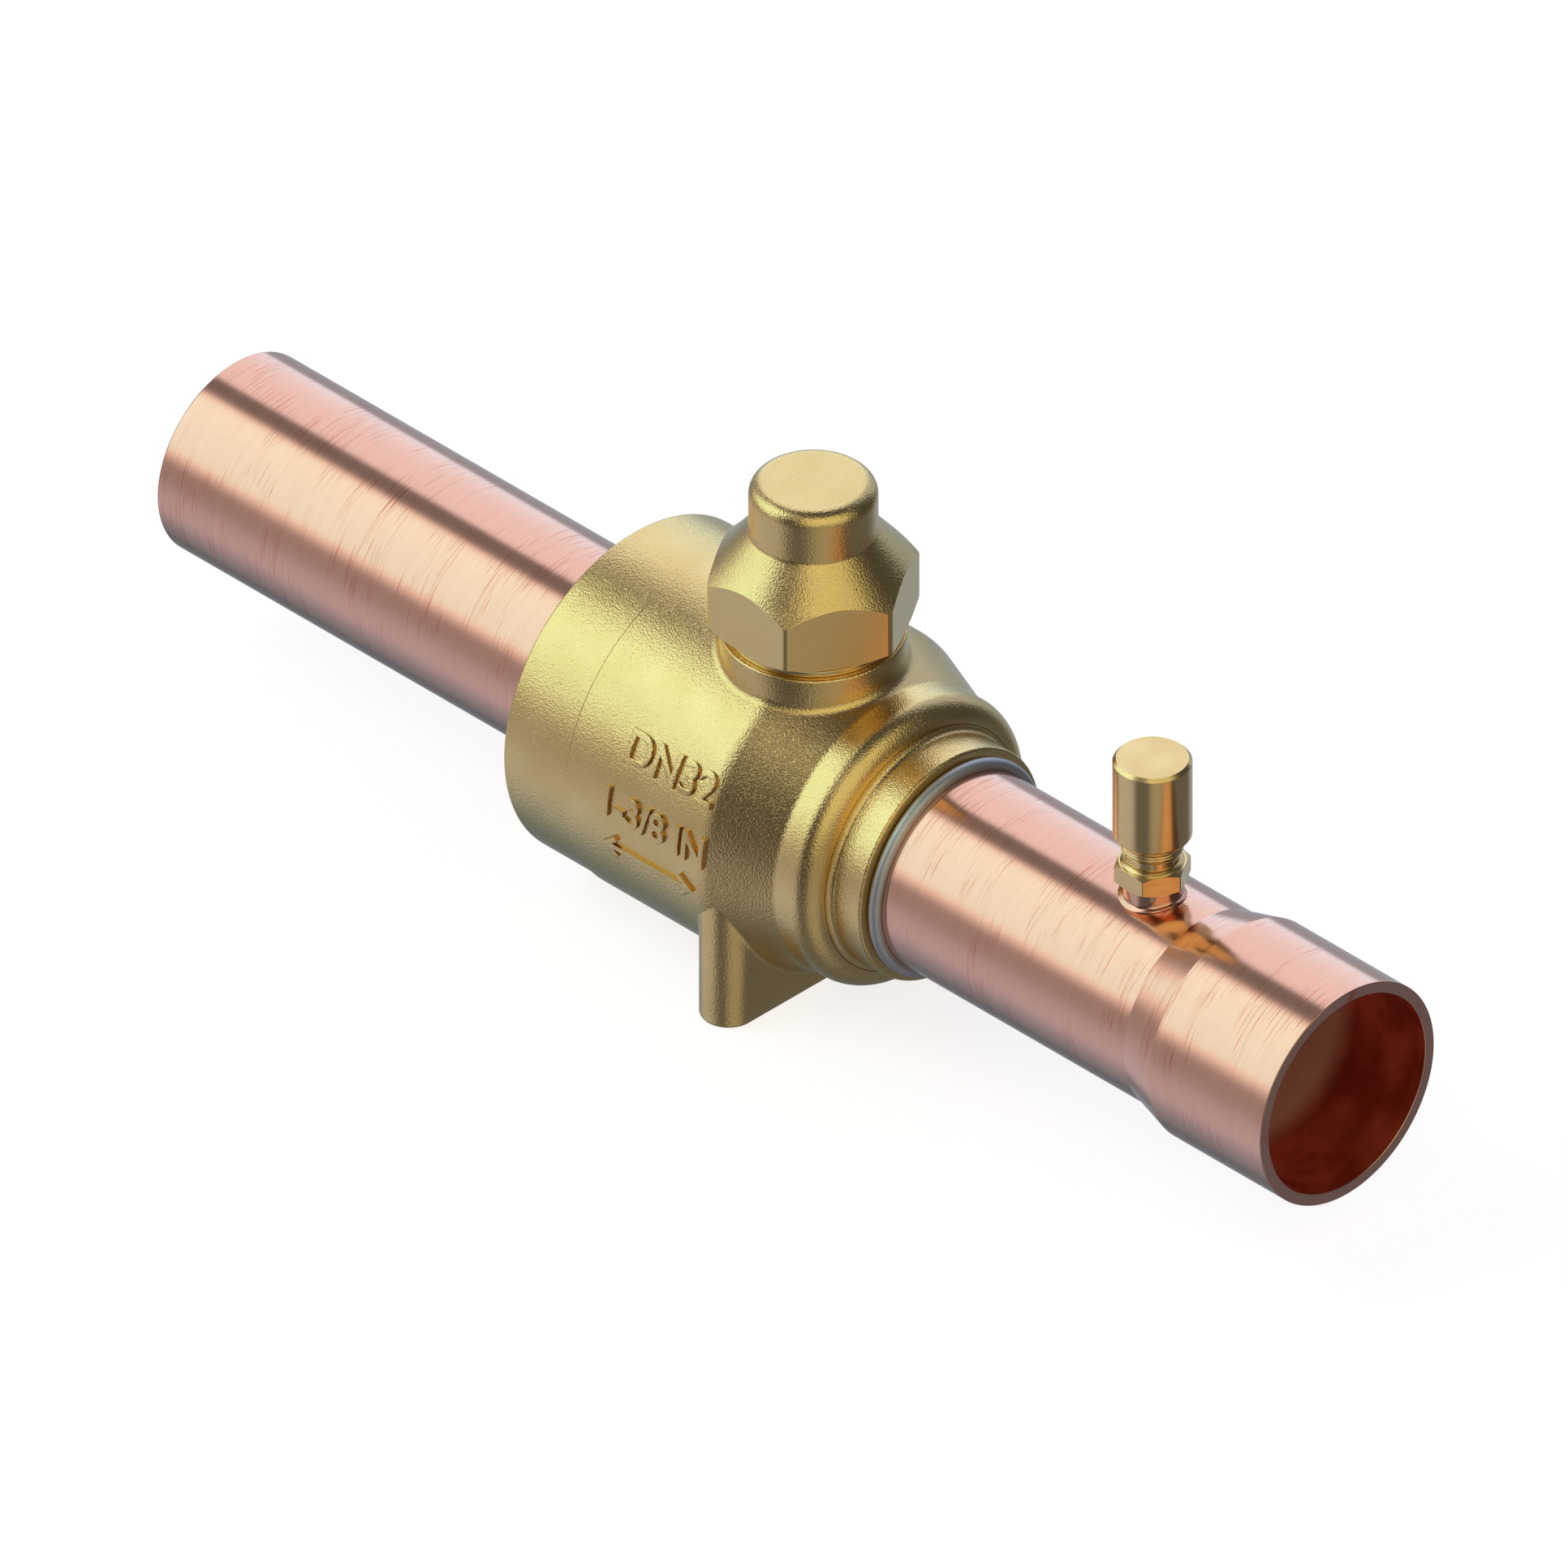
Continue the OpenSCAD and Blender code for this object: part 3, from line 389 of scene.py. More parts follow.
def rollingFillet(base, outward, rolling, topZ, draft, arcSteps=9):
    # a ball of radius rolling touches a wall and the body. Its centre stands off the wall by its radius and
    # its height is found by halving, where its distance to the body is its radius. Gives the rows of the arc
    # from the wall to the body, and one more row sunk into the body
    t = math.tan(math.radians(draft))
    lean = math.cos(math.radians(draft))
    low, high = np.zeros(len(base)), np.full(len(base), 45.0)
    for _ in range(40):
        z = (low + high) / 2
        centre = base + outward * ((topZ - z) * t + rolling / lean)[:, None]
        gap, _near = nearestOnBody(centre[:, 0], centre[:, 1], z)
        low, high = np.where(gap < rolling, z, low), np.where(gap < rolling, high, z)
    _gap, touch = nearestOnBody(centre[:, 0], centre[:, 1], z)
    middle = np.column_stack([centre, z])
    toWall = np.column_stack([-outward * lean, np.full(len(base), -math.sin(math.radians(draft)))])
    toBody = (touch - middle) / np.linalg.norm(touch - middle, axis=1)[:, None]
    angle = np.arccos(np.clip((toWall * toBody).sum(1), -1, 1))
    rows = []
    for f in np.linspace(0, 1, arcSteps):
        spoke = (toWall * np.sin((1 - f) * angle)[:, None] + toBody * np.sin(f * angle)[:, None]) / np.sin(
            angle)[:, None]
        rows.append(middle + spoke * rolling[:, None])
    rows.append(touch + toBody * 0.5)
    return np.array(rows)


# Boss and neck: the stem's bore, the threaded neck, the boss's top face, its drafted side and its fillet

boss = dict(top=30.8, radius=15.0, draft=3.0, edge=0.4, fillet=1.7, bore=6.05, floor=24.2, neckTop=42.0,
            neckFace=10.55, neckEdge=0.5, threadRoot=11.08, threadTip=11.95, pitch=1.5, relief=0.9,
            threadRows=100, columns=288)
theta = evenAngles(boss["columns"])
outward = np.stack([np.cos(theta), np.sin(theta)], 1)


def threadRadius(theta, z, root, tip, pitch, low, high):
    # right-hand thread: a rounded V wave of z / pitch - theta / 2 pi, faded out over 0.6 pitch at both ends
    phase = (z / pitch - theta / (2 * np.pi)) % 1.0
    wave = np.clip(1.35 * (1 - np.abs(2 * phase - 1)) - 0.12, 0, 1)
    fade = np.clip((z - low) / (0.6 * pitch), 0, 1) * np.clip((high - z) / (0.6 * pitch), 0, 1)
    return root + (tip - root) * wave * fade


top, neckTop, root, radius = boss["top"], boss["neckTop"], boss["threadRoot"], boss["radius"]
neckHigh, neckLow = neckTop - boss["neckEdge"], top + boss["relief"]
neckHeights = np.linspace(neckHigh, neckLow, boss["threadRows"])[:, None]
neckRadii = threadRadius(theta[None], neckHeights, root, boss["threadTip"], boss["pitch"], neckLow, neckHigh)
wallHeight = top - np.sqrt(np.interp(radius * np.cos(theta), outline[:, 0], outline[:, 1]) ** 2
                           - (radius * np.sin(theta)) ** 2)
rolling = np.minimum(boss["fillet"], 0.45 * wallHeight + 0.05)
bossRows = np.concatenate([
    ringsOf(theta, [(boss["bore"], boss["floor"]), (boss["bore"], neckTop - 0.1), (boss["bore"] + 0.1, neckTop),
                    (boss["neckFace"], neckTop), (root, neckHigh)]),
    ringsOf(theta, zip(neckRadii, neckHeights)),
    ringsOf(theta, [(root, top + 0.06), (root + 0.06, top), (13.9, top), (radius - boss["edge"] - 0.08, top)]
            + [(radius - inset, top - drop) for inset, drop in edgeSteps(boss["edge"])[:-1]]
            + [(radius + 0.01, top - boss["edge"])]),
    rollingFillet(outward * radius, outward, rolling, top, boss["draft"])])
putMesh("bodyBoss", skinOf(bossRows, True), brassSkin, "valve", ["valve_body"])


def evaluatedMesh(thing):
    bpy.context.view_layer.update()
    return bpy.data.meshes.new_from_object(thing.evaluated_get(bpy.context.evaluated_depsgraph_get()))


def drillFromBelow(thing, spots, radius, bottom, depth):
    # cuts round blind holes up into a piece, with the exact boolean, and keeps its materials
    work = bmesh.new()
    work.from_mesh(thing.data)
    bmesh.ops.remove_doubles(work, verts=work.verts, dist=0.002 * mm)
    bmesh.ops.dissolve_degenerate(work, edges=work.edges, dist=0.001 * mm)
    work.to_mesh(thing.data)
    work.free()
    drill = bmesh.new()
    for x, y in spots:
        # the drill starts 1 mm below the face
        made = bmesh.ops.create_cone(drill, cap_ends=True, segments=64, radius1=radius * mm, radius2=radius * mm,
                                     depth=(depth + 1) * mm)
        move = ((x + stemPlace) * mm, y * mm, (bottom + axisHeight + (depth - 1) / 2) * mm)
        bmesh.ops.translate(drill, verts=made["verts"], vec=move)
    cutter = newObject("drill", bpy.data.meshes.new("drill"))
    drill.to_mesh(cutter.data)
    drill.free()
    cut = thing.modifiers.new("holes", "BOOLEAN")
    cut.operation, cut.solver, cut.object = "DIFFERENCE", "EXACT", cutter
    made = evaluatedMesh(thing)
    thing.modifiers.clear()
    made.name = thing.name
    thing.data = made
    smoothMesh(made)
    bpy.data.objects.remove(cutter)


# Foot: a slab with round ends; the ring of its outline pairs left with right, so flat ends close like a ladder

foot = dict(place=4.75, halfLength=28.5, radius=4.7, edge=0.6, fillet=1.1, sink=24.6, sinkHalf=24.3, hole=2.1,
            holePlace=20.0, holeDepth=8.0, perEnd=48, perSide=60)


def footRing(radius):
    # half the outline from +Y's tip over +X to -Y's tip; the other half is its mirror in X
    endY = foot["halfLength"] - foot["radius"]
    bend = np.linspace(0, np.pi / 2, foot["perEnd"], endpoint=False)
    bend[0] = 0.02
    side = np.linspace(endY, -endY, foot["perSide"])
    up = np.stack([radius * np.sin(bend), endY + radius * np.cos(bend)], 1)
    straight = np.stack([np.full(len(side), radius), side], 1)
    down = up[::-1] * [1, -1]
    half = np.concatenate([up, straight, down])
    normal = np.concatenate([np.stack([np.sin(bend), np.cos(bend)], 1), np.tile([1.0, 0.0], (len(side), 1)),
                             np.stack([np.sin(bend), -np.cos(bend)], 1)[::-1]])
    return np.concatenate([half, half[::-1] * [-1, 1]]), np.concatenate([normal, normal[::-1] * [-1, 1]])


def ladderSkin(rows):
    # rings one above another; quads between ring point i and its mirror point close the first and the last
    count = rows.shape[1]
    i = np.arange(count // 2 - 1)
    rungs = np.stack([i, i + 1, count - 2 - i, count - 1 - i], 1)
    last = (len(rows) - 1) * count
    return rows.reshape(-1, 3), [gridFaces(len(rows), count, False), rungs[:, ::-1], rungs + last]


base, normals = footRing(foot["radius"])
base = base + [foot["place"], 0]
bodyUnder = np.interp(base[:, 0], outline[:, 0], outline[:, 1])
wallTall = axisHeight - np.sqrt(np.maximum(bodyUnder ** 2 - base[:, 1] ** 2, 0.0))
footRolling = np.clip(0.5 * wallTall - 0.3, 0.02, foot["fillet"])
footArc = rollingFillet(base, normals, footRolling, 0.0, 0.0) * [1, 1, -1]
footArc[:, :, 2] = np.maximum(footArc[:, :, 2], foot["edge"] - axisHeight)
lowRows = [np.column_stack([base - normals * inset, np.full(len(base), rise - axisHeight)])
           for inset, rise in [(foot["edge"] + 0.1, 0.0)] + edgeSteps(foot["edge"])]
# the last row is sunk into the body, with its ends drawn in so that they lie inside it too
sinkY = base[:, 1] * 0.985
sinkY -= np.sign(sinkY) * 0.98 * np.maximum(np.abs(sinkY) - foot["sinkHalf"], 0)
sinkRow = np.column_stack([base[:, 0] - 0.05 * normals[:, 0], sinkY, -np.sqrt(foot["sink"] ** 2 - sinkY ** 2)])
footPiece = putMesh("bodyFoot", ladderSkin(np.array([*lowRows, *footArc, sinkRow])), brassSkin, "valve",
                    ["valve_body"])
drillFromBelow(footPiece, [(foot["place"], side * foot["holePlace"]) for side in (-1, 1)], foot["hole"],
               -axisHeight, foot["holeDepth"])
print("body, boss and foot ready")


# Raised marks on the body's side: the tube size in two units and a two-way flow arrow

marks = dict(rise=0.46, bevel=0.07, fatter=0.13, capitals=0.69, strip=0.75, sharp=40.0)


def raisedCurve(name, kind):
    curve = bpy.data.curves.new(name, kind)
    if kind == "CURVE":
        curve.dimensions = "2D"
        curve.fill_mode = "BOTH"
    curve.extrude = marks["rise"]
    curve.bevel_depth = marks["bevel"]
    curve.bevel_resolution = 1
    return curve


def markWords(words, height):
    # capitals of the built-in face are 0.69 of its size
    curve = raisedCurve("markWords", "FONT")
    curve.body = words
    curve.size = height / marks["capitals"]
    curve.align_x = "CENTER"
    curve.offset = marks["fatter"]
    curve.resolution_u = 6
    return curve


def markArrow(length, head, stroke):
    # a two-way arrow in strokes: each arm runs back from the tip by head and out by 0.8 head. Its inner edge
    # meets the shaft's edge where the arm's height is half a stroke
    curve = raisedCurve("markArrow", "CURVE")
    tip, back, out = length / 2, head, head * 0.8
    arm = math.hypot(back, out)
    meet = (stroke / 2 + back * stroke / arm) / out
    corner = (tip - out * stroke / arm - back * meet, stroke / 2)
    innerEnd = (tip - back - out * stroke / arm, out - back * stroke / arm)
    upper = [corner, innerEnd, (tip - back, out)]
    right = upper + [(tip, 0.0)] + [(x, -y) for x, y in upper[::-1]]
    corners = right + [(-x, -y) for x, y in right]
    line = curve.splines.new("POLY")
    line.points.add(len(corners) - 1)
    line.points.foreach_set("co", [c for x, y in corners for c in (x, y + out, 0.0, 1.0)])
    line.use_cyclic_u = True
    return curve


def wrapMark(name, curve, place, below, squeeze=1.0):
    # cuts the flat mark into strips, then bends it round the body: height along the mark becomes an angle
    # round the pipe, and its thickness a radius from 0.5 mm inside the skin to 0.5 mm outside it
    thing = newObject(name, curve)
    flat = evaluatedMesh(thing)
    bpy.data.objects.remove(thing)
    work = bmesh.new()
    work.from_mesh(flat)
    bmesh.ops.remove_doubles(work, verts=work.verts, dist=0.004)
    bmesh.ops.dissolve_degenerate(work, edges=work.edges, dist=0.002)
    bmesh.ops.triangulate(work, faces=work.faces)
    tall = max(v.co.y for v in work.verts)
    for cut in np.arange(-2 * marks["strip"], tall, marks["strip"]):
        bmesh.ops.bisect_plane(work, geom=work.verts[:] + work.edges[:] + work.faces[:], plane_co=(0, cut, 0),
                               plane_no=(0, 1, 0), dist=0.0005)
    bmesh.ops.triangulate(work, faces=[f for f in work.faces if len(f.verts) > 4])
    work.to_mesh(flat)
    work.free()
    facing = np.empty(len(flat.polygons) * 3)
    flat.polygons.foreach_get("normal", facing)
    spots = np.empty(len(flat.vertices) * 3)
    flat.vertices.foreach_get("co", spots)
    spots = spots.reshape(-1, 3) * [squeeze, 1, 1]
    radius = shell["radius"] + spots[:, 2]
    turn = math.radians(90 - below) - (spots[:, 1] - tall / 2) / shell["radius"]
    bent = np.stack([place + spots[:, 0] + stemPlace, -radius * np.sin(turn), radius * np.cos(turn) + axisHeight], 1)
    flat.vertices.foreach_set("co", (bent * mm).ravel())
    flat.materials.clear()
    for each in (brassSkin, brassPaintedShade):
        flat.materials.append(each)
    # the walls of the mark, whose flat normal had little height, get the darker brass as painted shade
    flat.polygons.foreach_set("material_index", (np.abs(facing[2::3]) < 0.7).astype(np.int32))
    smoothMesh(flat, marks["sharp"])
    flat.update()
    mark = newObject(name, flat)
    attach(mark, "valve")
    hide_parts("valve_body")


wrapMark("markMetric", markWords("DN32", 5.4), -5.4, 28.0, 1.0)
wrapMark("markInches", markWords("1-3/8 IN", 4.9), -6.5, 7.5, 0.98)
wrapMark("markFlow", markArrow(20.0, 2.7, 0.85), -7.4, -8.5)


# Stop rim on the neck: three quarters of a ring, with stop faces for the pin

def plate(outlineXY, low, high, edge):
    # a closed outline raised from low to high, with its edges rounded by stepping the outline inward
    ahead = np.roll(outlineXY, -1, 0) - outlineXY
    back = outlineXY - np.roll(outlineXY, 1, 0)
    tangent = ahead / np.linalg.norm(ahead, axis=1)[:, None] + back / np.linalg.norm(back, axis=1)[:, None]
    inward = np.stack([-tangent[:, 1], tangent[:, 0]], 1) / np.linalg.norm(tangent, axis=1)[:, None]
    steps = edgeSteps(edge)[::2]
    rises = [(inset, low + b) for inset, b in steps] + [(inset, high - b) for inset, b in steps[::-1]]
    return np.array([np.column_stack([outlineXY + inward * inset, np.full(len(outlineXY), z)])
                     for inset, z in rises])


rim = dict(outer=9.8, inner=6.05, low=41.9, high=44.6, face=1.35, edge=0.18, columns=110)
startOut, startIn = (math.atan2(rim["face"], math.sqrt(rim[side] ** 2 - rim["face"] ** 2))
                     for side in ("outer", "inner"))
arcs = [np.stack([np.cos(turn), np.sin(turn)], 1) * radius for turn, radius in (
    (np.linspace(startOut, 1.5 * np.pi - startOut, rim["columns"]), rim["outer"]),
    (np.linspace(1.5 * np.pi - startIn, startIn, rim["columns"]), rim["inner"]))]
rimRows = plate(np.concatenate(arcs), rim["low"], rim["high"], rim["edge"])
putMesh("stopRim", ladderSkin(rimRows), brassTurned, "valve", ["valve_body"])


# End connector: collar outside, spigot with its seal's groove and the seat's pocket inside

collar = dict(face=-40.3, joint=-26.3, radius=29.4, spigot=24.3, bore=17.3, edges=[0.15, 0.55, 0.20],
              inside=[(-25.7, 24.3), (-25.7, 22.37), (-23.208, 22.37), (-23.208, 24.3), (-16.0, 24.3),
                      (-16.0, 22.5), (-12.5, 22.5), (-12.5, 19.6), (-18.05, 19.6), (-18.05, 15.2),
                      (-31.3, 15.2), (-31.3, 17.3)])
collarCorners = [(collar["face"], collar["bore"]), (collar["face"], collar["radius"]),
                 (collar["joint"], collar["radius"]), (collar["joint"], collar["spigot"]), *collar["inside"]]
collarSection = roundedPath(collarCorners, collar["edges"] + [0.0] * 13, perArc=10)
putMesh("endCollar", skinOf(turnAboutPipe(collarSection), True), brassSkin, "valve", ["end_connector"])


# Copper tubes: both narrow a little where they go into the brass

tube = dict(outer=17.465, inner=15.465, narrow=17.25, inletEnd=-129.9, inletStep=-42.5, insertIn=-31.35,
            outletEnd=119.8, outletStep=32.9, insertOut=21.75, socketIn=17.535, socketOut=19.535,
            flareStart=87.09, socketStart=94.8, halfFlare=7.5, columns=224)


def putPipe(name, section, isBore, node):
    # isBore says which faces of the section are inside, where the copper gets the bore's painted light and painted
    # reflection
    putMesh(name, skinOf(turnAboutPipe(section, tube["columns"]), True), copperSkin, "valve", [node],
            alsoMaterials=[copperInside], faceMaterial=np.repeat(isBore, tube["columns"]))


inletSection = roundedPath([(tube["inletEnd"], tube["inner"]), (tube["inletEnd"], tube["outer"]),
                            (tube["inletStep"], tube["outer"]), (tube["inletStep"], tube["narrow"]),
                            (tube["insertIn"], tube["narrow"]), (tube["insertIn"], tube["inner"])],
                           [0.25, 0.35, 0.0, 0.0, 0.0, 0.0], perArc=8)
faceEnds = np.stack([inletSection[:, 1], np.roll(inletSection[:, 1], -1)])
putPipe("inletPipe", inletSection, (faceEnds.mean(0) < 15.5) & (faceEnds.min(0) < 15.48), "inlet_tube")

# the wall is 2 mm, so the inner corners of the flare lie 2 tan(half its slope) further out
innerShift = (tube["outer"] - tube["inner"]) * math.tan(math.radians(tube["halfFlare"]))
socketSection = roundedPath([(tube["insertOut"], tube["inner"]), (tube["insertOut"], tube["narrow"]),
                             (tube["outletStep"], tube["narrow"]), (tube["outletStep"], tube["outer"]),
                             (tube["flareStart"], tube["outer"]), (tube["socketStart"], tube["socketOut"]),
                             (tube["outletEnd"], tube["socketOut"]), (tube["outletEnd"], tube["socketIn"]),
                             (tube["socketStart"] + innerShift, tube["socketIn"]),
                             (tube["flareStart"] + innerShift, tube["inner"])],
                            [0, 0, 0, 0, 0.5, 0.35, 0.14, 0.14, 0.4, 0.5], perArc=12)
boreStart = np.hypot(socketSection[:, 0] - 119.6, socketSection[:, 1] - tube["socketIn"]).argmin()
putPipe("outletPipe", socketSection, np.arange(len(socketSection)) >= boreStart, "outlet_tube")


# Solder beads in the corners between brass and copper

bead = dict(radius=1.15, out=1.16, up=0.475, cut=0.415, foot=17.49, squash=0.985, shrink=0.99, rows=22)


def solderBead(name, face, side, node):
    # a round bead cut off at the tube, its height swelling slowly round the girth
    turn = np.linspace(-bead["cut"], np.pi + bead["cut"], bead["rows"])[:, None]
    a = evenAngles(tube["columns"])
    swell = 1 + 0.02 * np.sin(3 * a + 1) + 0.015 * np.sin(7 * a)
    x = face + side * (bead["out"] + bead["radius"] * np.cos(turn)) * bead["shrink"] + 0 * a
    r = bead["foot"] + (bead["up"] + bead["radius"] * np.sin(turn)) * swell * bead["squash"]
    rows = np.stack([x, r * np.sin(a), r * np.cos(a)], -1)
    putMesh(name, skinOf(rows, True), solderSkin, "valve", [node])


solderBead("outletSolder", shell["hubFace"], 1, "outlet_braze_ring")
solderBead("inletSolder", collar["face"], -1, "inlet_braze_ring")
print("collar, pipes and solder ready")


# Seal cap: a hexagon cut by a cone above and a chamfer below, a knob on top, threaded inside

cap = dict(flats=30.5, cornerRound=1.5, bottom=33.15, lipBottom=31.95, lip=14.0, coneSum=59.51, chamfer=30.0,
           chamferRadius=15.6, knob=10.35, knobTop=59.2, knobRound=2.4, knobHollow=1.2, steep=50.0,
           steepRadius=15.6, wall=2.5, bore=12.12, knobBore=7.95, roof=56.0, threadRows=100, threadGap=0.1,
           columns=360)


def hexagonRadius(angle, flats, cornerRound):
    # distance to a hexagon with rounded corners: flat / cos, or the corner's circle near a corner
    half = flats / 2
    toCorner = (angle + np.pi / 6) % (np.pi / 3) - np.pi / 6
    toFlat = np.pi / 6 - np.abs(toCorner)
    centre = (half - cornerRound) / math.cos(math.pi / 6)
    limit = math.atan2(cornerRound * 0.5, centre + cornerRound * math.cos(math.pi / 6))
    arc = centre * np.cos(toCorner) + np.sqrt(
        np.maximum(cornerRound ** 2 - (centre * np.sin(toCorner)) ** 2, 0))
    return np.where(np.abs(toCorner) < limit, arc, half / np.cos(toFlat))


def hexColumns(count):
    # more columns near each corner, so that its rounding is smooth
    even = np.linspace(-np.pi / 6, np.pi / 6, count // 6, endpoint=False)
    sixth = even * (0.25 + 0.75 * (np.abs(even) / (np.pi / 6)))
    return (sixth[None] + np.arange(6)[:, None] * np.pi / 3).ravel()


def shoulderHeight(radius):
    # a 45 degree cone at the corners, and a steeper one from the flats up to the knob
    inner = np.maximum(cap["steepRadius"] - radius, 0) * (math.tan(math.radians(cap["steep"])) - 1)
    return cap["coneSum"] - radius + inner


def between(first, last, fractions):
    return [first * (1 - f) + last * f for f in fractions]


capAngle = hexColumns(cap["columns"])
hexRadius = hexagonRadius(capAngle, cap["flats"], cap["cornerRound"])
slope = math.tan(math.radians(cap["chamfer"]))
lowEdge = cap["bottom"] + np.maximum(hexRadius - cap["chamferRadius"], 0) * slope
lowChamfer = np.minimum(hexRadius, cap["chamferRadius"])
lip, lipBottom, bottom, knob = cap["lip"], cap["lipBottom"], cap["bottom"], cap["knob"]
capRows = list(ringsOf(capAngle, [
    (lip - 0.25, lipBottom), (lip - 0.06, lipBottom + 0.06), (lip, lipBottom + 0.2), (lip, bottom - 0.04),
    (lip + 0.04, bottom), (lowChamfer - 0.25, bottom), (lowChamfer - 0.02, bottom)]))
lowRing, highRing = ringsOf(capAngle, [(hexRadius, lowEdge), (hexRadius, shoulderHeight(hexRadius))])
capRows += between(capRows[-1], lowRing, [0.5, 1.0])
capRows += between(lowRing, highRing, [0.02, 0.5, 0.98, 1.0])
topStart = knob + cap["knobHollow"] * 0.3 + 0.7
bend = np.minimum(hexRadius - 0.12, cap["steepRadius"])
bendRing, coneEnd = ringsOf(capAngle, [(bend, shoulderHeight(bend)), (topStart, shoulderHeight(topStart))])
capRows += [bendRing] + between(bendRing, coneEnd, [0.03, 0.25, 0.5, 0.75])
knobSection = roundedPath([(topStart, shoulderHeight(topStart)), (knob, shoulderHeight(knob)),
                           (knob, cap["knobTop"]), (0.35, cap["knobTop"])],
                          [0, cap["knobHollow"], cap["knobRound"], 0], closed=False, perArc=12)
capRows += list(ringsOf(capAngle, [*knobSection[:-1], *((r, cap["knobTop"]) for r in (6.0, 3.0, 1.0))]))

# inside, from the roof's middle down to the mouth: the roof's cone is a wall's thickness under the outer one,
# and the thread is the neck's, a gap outside it
boreCone = cap["coneSum"] - cap["wall"] * math.sqrt(2)
boreTop = boreCone - cap["bore"]
boreHeights = np.linspace(boreTop - 0.5, lipBottom + 0.9, cap["threadRows"])
threadIn = boss["threadRoot"] + cap["threadGap"] + (boss["threadTip"] - boss["threadRoot"]) * threadRadius(
    capAngle[None], boreHeights[:, None], 0.0, 1.0, boss["pitch"], -1e3, 1e3)
fadeIn = np.clip((boreHeights - boreHeights[-1]) / 0.8, 0, 1) * np.clip((boreHeights[0] - boreHeights) / 0.8, 0, 1)
boreRadius = cap["bore"] + (np.minimum(threadIn, cap["bore"]) - cap["bore"]) * fadeIn[:, None]
insideRows = ringsOf(capAngle, [
    (1.0, cap["roof"]), (4.0, cap["roof"]), (7.4, cap["roof"]), (7.85, cap["roof"] - 0.1),
    (cap["knobBore"], cap["roof"] - 0.4), (cap["knobBore"], boreCone - cap["knobBore"]), (cap["bore"], boreTop),
    *zip(boreRadius, boreHeights), (cap["bore"], lipBottom + 0.4), (cap["bore"] + 0.4, lipBottom)])
allRows = np.concatenate([insideRows, capRows])
rowsIn, columns = len(insideRows), cap["columns"]
flatBand = np.zeros(len(allRows) - 1, int)
flatBand[rowsIn:rowsIn + 4] = 2          # lip
flatBand[rowsIn + 7:rowsIn + 12] = 1     # chamfer and flats
capMaterials = np.concatenate([np.repeat(flatBand, columns), np.ones(columns, int), np.zeros(columns, int)])
# two poles close the roof inside and the knob outside
putMesh("hexCap", skinOf(allRows, False, [0, 0, cap["roof"]], [0, 0, cap["knobTop"]]), brassSkin, "seal_cap",
        ["seal_cap"], sharp=24.0, alsoMaterials=[brassFlat, gasketBright], faceMaterial=capMaterials)

gasketSection = roundedPath([(12.5, boss["top"]), (lip, boss["top"]), (lip, lipBottom), (12.5, lipBottom)],
                            [0.1, 0.22, 0.22, 0.1])
putMesh("capGasket", skinOf(ringsOf(evenAngles(224), gasketSection), True), gasketBright, "cap_gasket",
        ["cap_gasket"])
print("seal cap ready")


# Access port: saddle stub, hexagon fitting with its thread, and the round cap

port = dict(place=76.1, top=20.215, columns=160,
            saddle=[(3.6, 0.03), (5.35, 0.03), (5.5, 0.10), (5.52, 0.2), (5.42, 0.31), (5.28, 0.36), (5.08, 0.42),
                    (4.92, 0.55), (4.83, 0.78), (4.8, 1.05)],
            mouth=[(4.8, 0.3), (4.76, 0.12), (4.66, 0.02), (4.5, 0.0), (3.6, 0.0)])
portAngle = evenAngles(port["columns"])


def onTube(radius, lift):
    # height of a ring of this radius that lies on the outlet tube, lifted off its skin
    return np.sqrt((tube["outer"] + lift) ** 2 - (radius * np.sin(portAngle)) ** 2)


# the saddle's rings are given by their lift off the tube, and the mouth's by their depth below the top
stubRows = ringsOf(portAngle, [(r, onTube(r, lift)) for r, lift in port["saddle"]]
                   + [(r, port["top"] - depth) for r, depth in port["mouth"]], port["place"])
putMesh("saddleStub", skinOf(stubRows, True), copperBright, "valve", ["access_stub"])

fit = dict(flats=11.0, cornerRound=0.25, chamfer=30.0, low=18.0, bottom=20.215, top=23.815, ring=5.18, neck=4.43,
           neckEnd=25.715, threadRoot=4.114, threadTip=4.72, pitch=1.06, threadEnd=36.715, threadRows=120,
           nose=37.615, stubFit=3.5, bore=2.65, boreEnd=29.42, throat=2.35, coneEnd=26.3, pinhole=1.5, columns=240)
fitAngle = hexColumns(fit["columns"])
fitHex = hexagonRadius(fitAngle, fit["flats"], fit["cornerRound"])
flatRadius = fit["flats"] / 2 - 0.05
chamferRise = (fitHex - flatRadius) * math.tan(math.radians(fit["chamfer"]))
fitLow, fitHigh = fit["bottom"] + chamferRise, fit["top"] - chamferRise
threadZ = np.linspace(fit["neckEnd"] + 0.25, fit["threadEnd"] - 0.05, fit["threadRows"])
threadR = threadRadius(fitAngle[None], threadZ[:, None], fit["threadRoot"], fit["threadTip"], fit["pitch"],
                       threadZ[0], threadZ[-1])
ring, neck, neckEnd, root, nose = (fit[key] for key in ("ring", "neck", "neckEnd", "threadRoot", "nose"))
